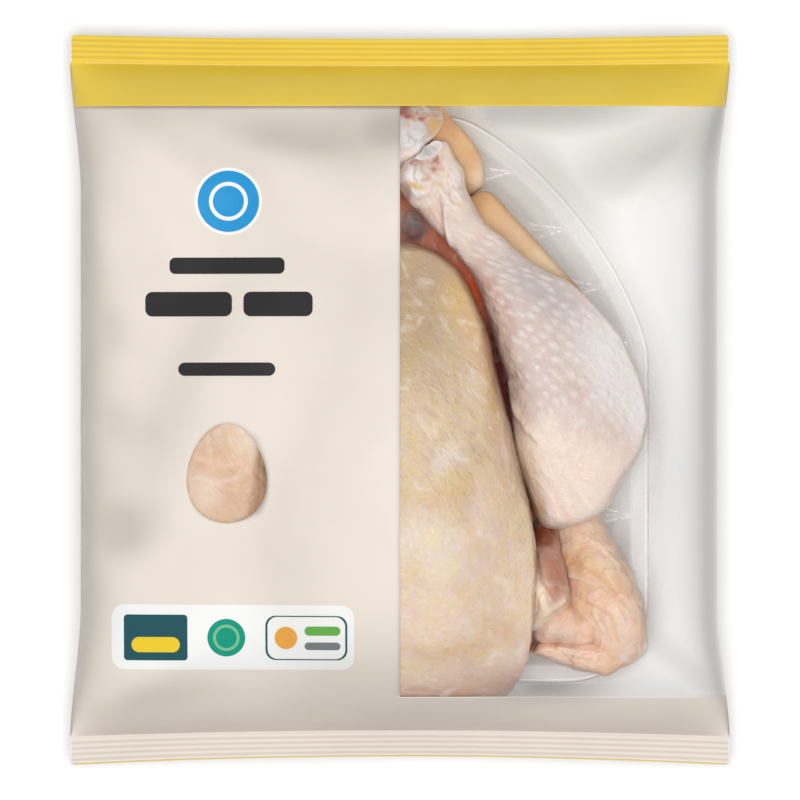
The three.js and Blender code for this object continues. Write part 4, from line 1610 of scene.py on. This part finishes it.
def makeFloor():
    # pale square, 3 metres to each side and a little under the film
    size, level = 3.0, -0.4 * mm
    points = [(-size, -size, level), (size, -size, level), (size, size, level), (-size, size, level)]
    n = Nodes("paleFloor")
    speck = n.noise(n.sized(180), 2)
    shader = n.add("ShaderNodeBsdfPrincipled")
    n.fill(shader, **{"Base Color": n.blend(speck, (0.93, 0.93, 0.93), (0.95, 0.95, 0.95)), "Roughness": 0.9})
    material = n.finish(shader.outputs[0])
    mesh = bpy.data.meshes.new("floor")
    mesh.from_pydata(points, [], [(0, 1, 2, 3)])
    mesh.materials.append(material)
    floor = bpy.data.objects.new("floor", mesh)
    bpy.context.scene.collection.objects.link(floor)
    floor.visible_diffuse = False


lights = {
    "room": 0.58, "sun": 1.85, "sunAngle": 35, "sunTurn": (5, 0),  # degrees from straight down
    "softboxes": [(-0.05, 0.08, 1.2), (0.3, 0.06, 1.2), (-0.12, 0.36, 1.2), (0.12, -0.3, 1.2)],  # metres
    "softboxSize": 0.05, "softboxPower": 0.6,  # metres, watts
}


def makeLights():
    # a wide soft light from above, and small softboxes that show only in the wet shine
    world = bpy.data.worlds.new("softRoom")
    world.use_nodes = True
    background = world.node_tree.nodes["Background"]
    background.inputs["Color"].default_value = (1, 1, 1, 1)
    background.inputs["Strength"].default_value = lights["room"]
    bpy.context.scene.world = world
    sun = bpy.data.lights.new("overhead", "SUN")
    sun.energy = lights["sun"]
    sun.angle = math.radians(lights["sunAngle"])
    overhead = bpy.data.objects.new("overhead", sun)
    overhead.location = (0, 0, 2)
    overhead.rotation_euler = tuple(math.radians(turn) for turn in lights["sunTurn"]) + (0,)
    overhead.visible_glossy = False
    bpy.context.scene.collection.objects.link(overhead)
    box = bpy.data.lights.new("softbox", "AREA")
    box.energy = lights["softboxPower"]
    box.size = lights["softboxSize"]
    for x, y, z in lights["softboxes"]:
        softbox = bpy.data.objects.new("softbox", box)
        softbox.location = (x, y, z)
        softbox.rotation_euler = (-math.atan2(y, z), math.atan2(x, z), 0)
        softbox.visible_diffuse = False
        softbox.visible_camera = False
        bpy.context.scene.collection.objects.link(softbox)


def makeCamera():
    # long lens straight above the bag
    view = {"distance": 5.0, "width": 0.31515, "plane": 0.015}  # metres: the picture spans width at plane
    camera = bpy.data.cameras.new("camera")
    camera.sensor_width = 36
    camera.lens = 36 * (view["distance"] - view["plane"]) / view["width"]
    camera.clip_start = 0.1
    camera.clip_end = 30
    eye = bpy.data.objects.new("camera", camera)
    eye.location = (0, 0, view["distance"])
    bpy.context.scene.collection.objects.link(eye)
    bpy.context.scene.camera = eye


makeFloor()
makeLights()
makeCamera()
bpy.context.scene.view_settings.view_transform = "Standard"
print("studio made")
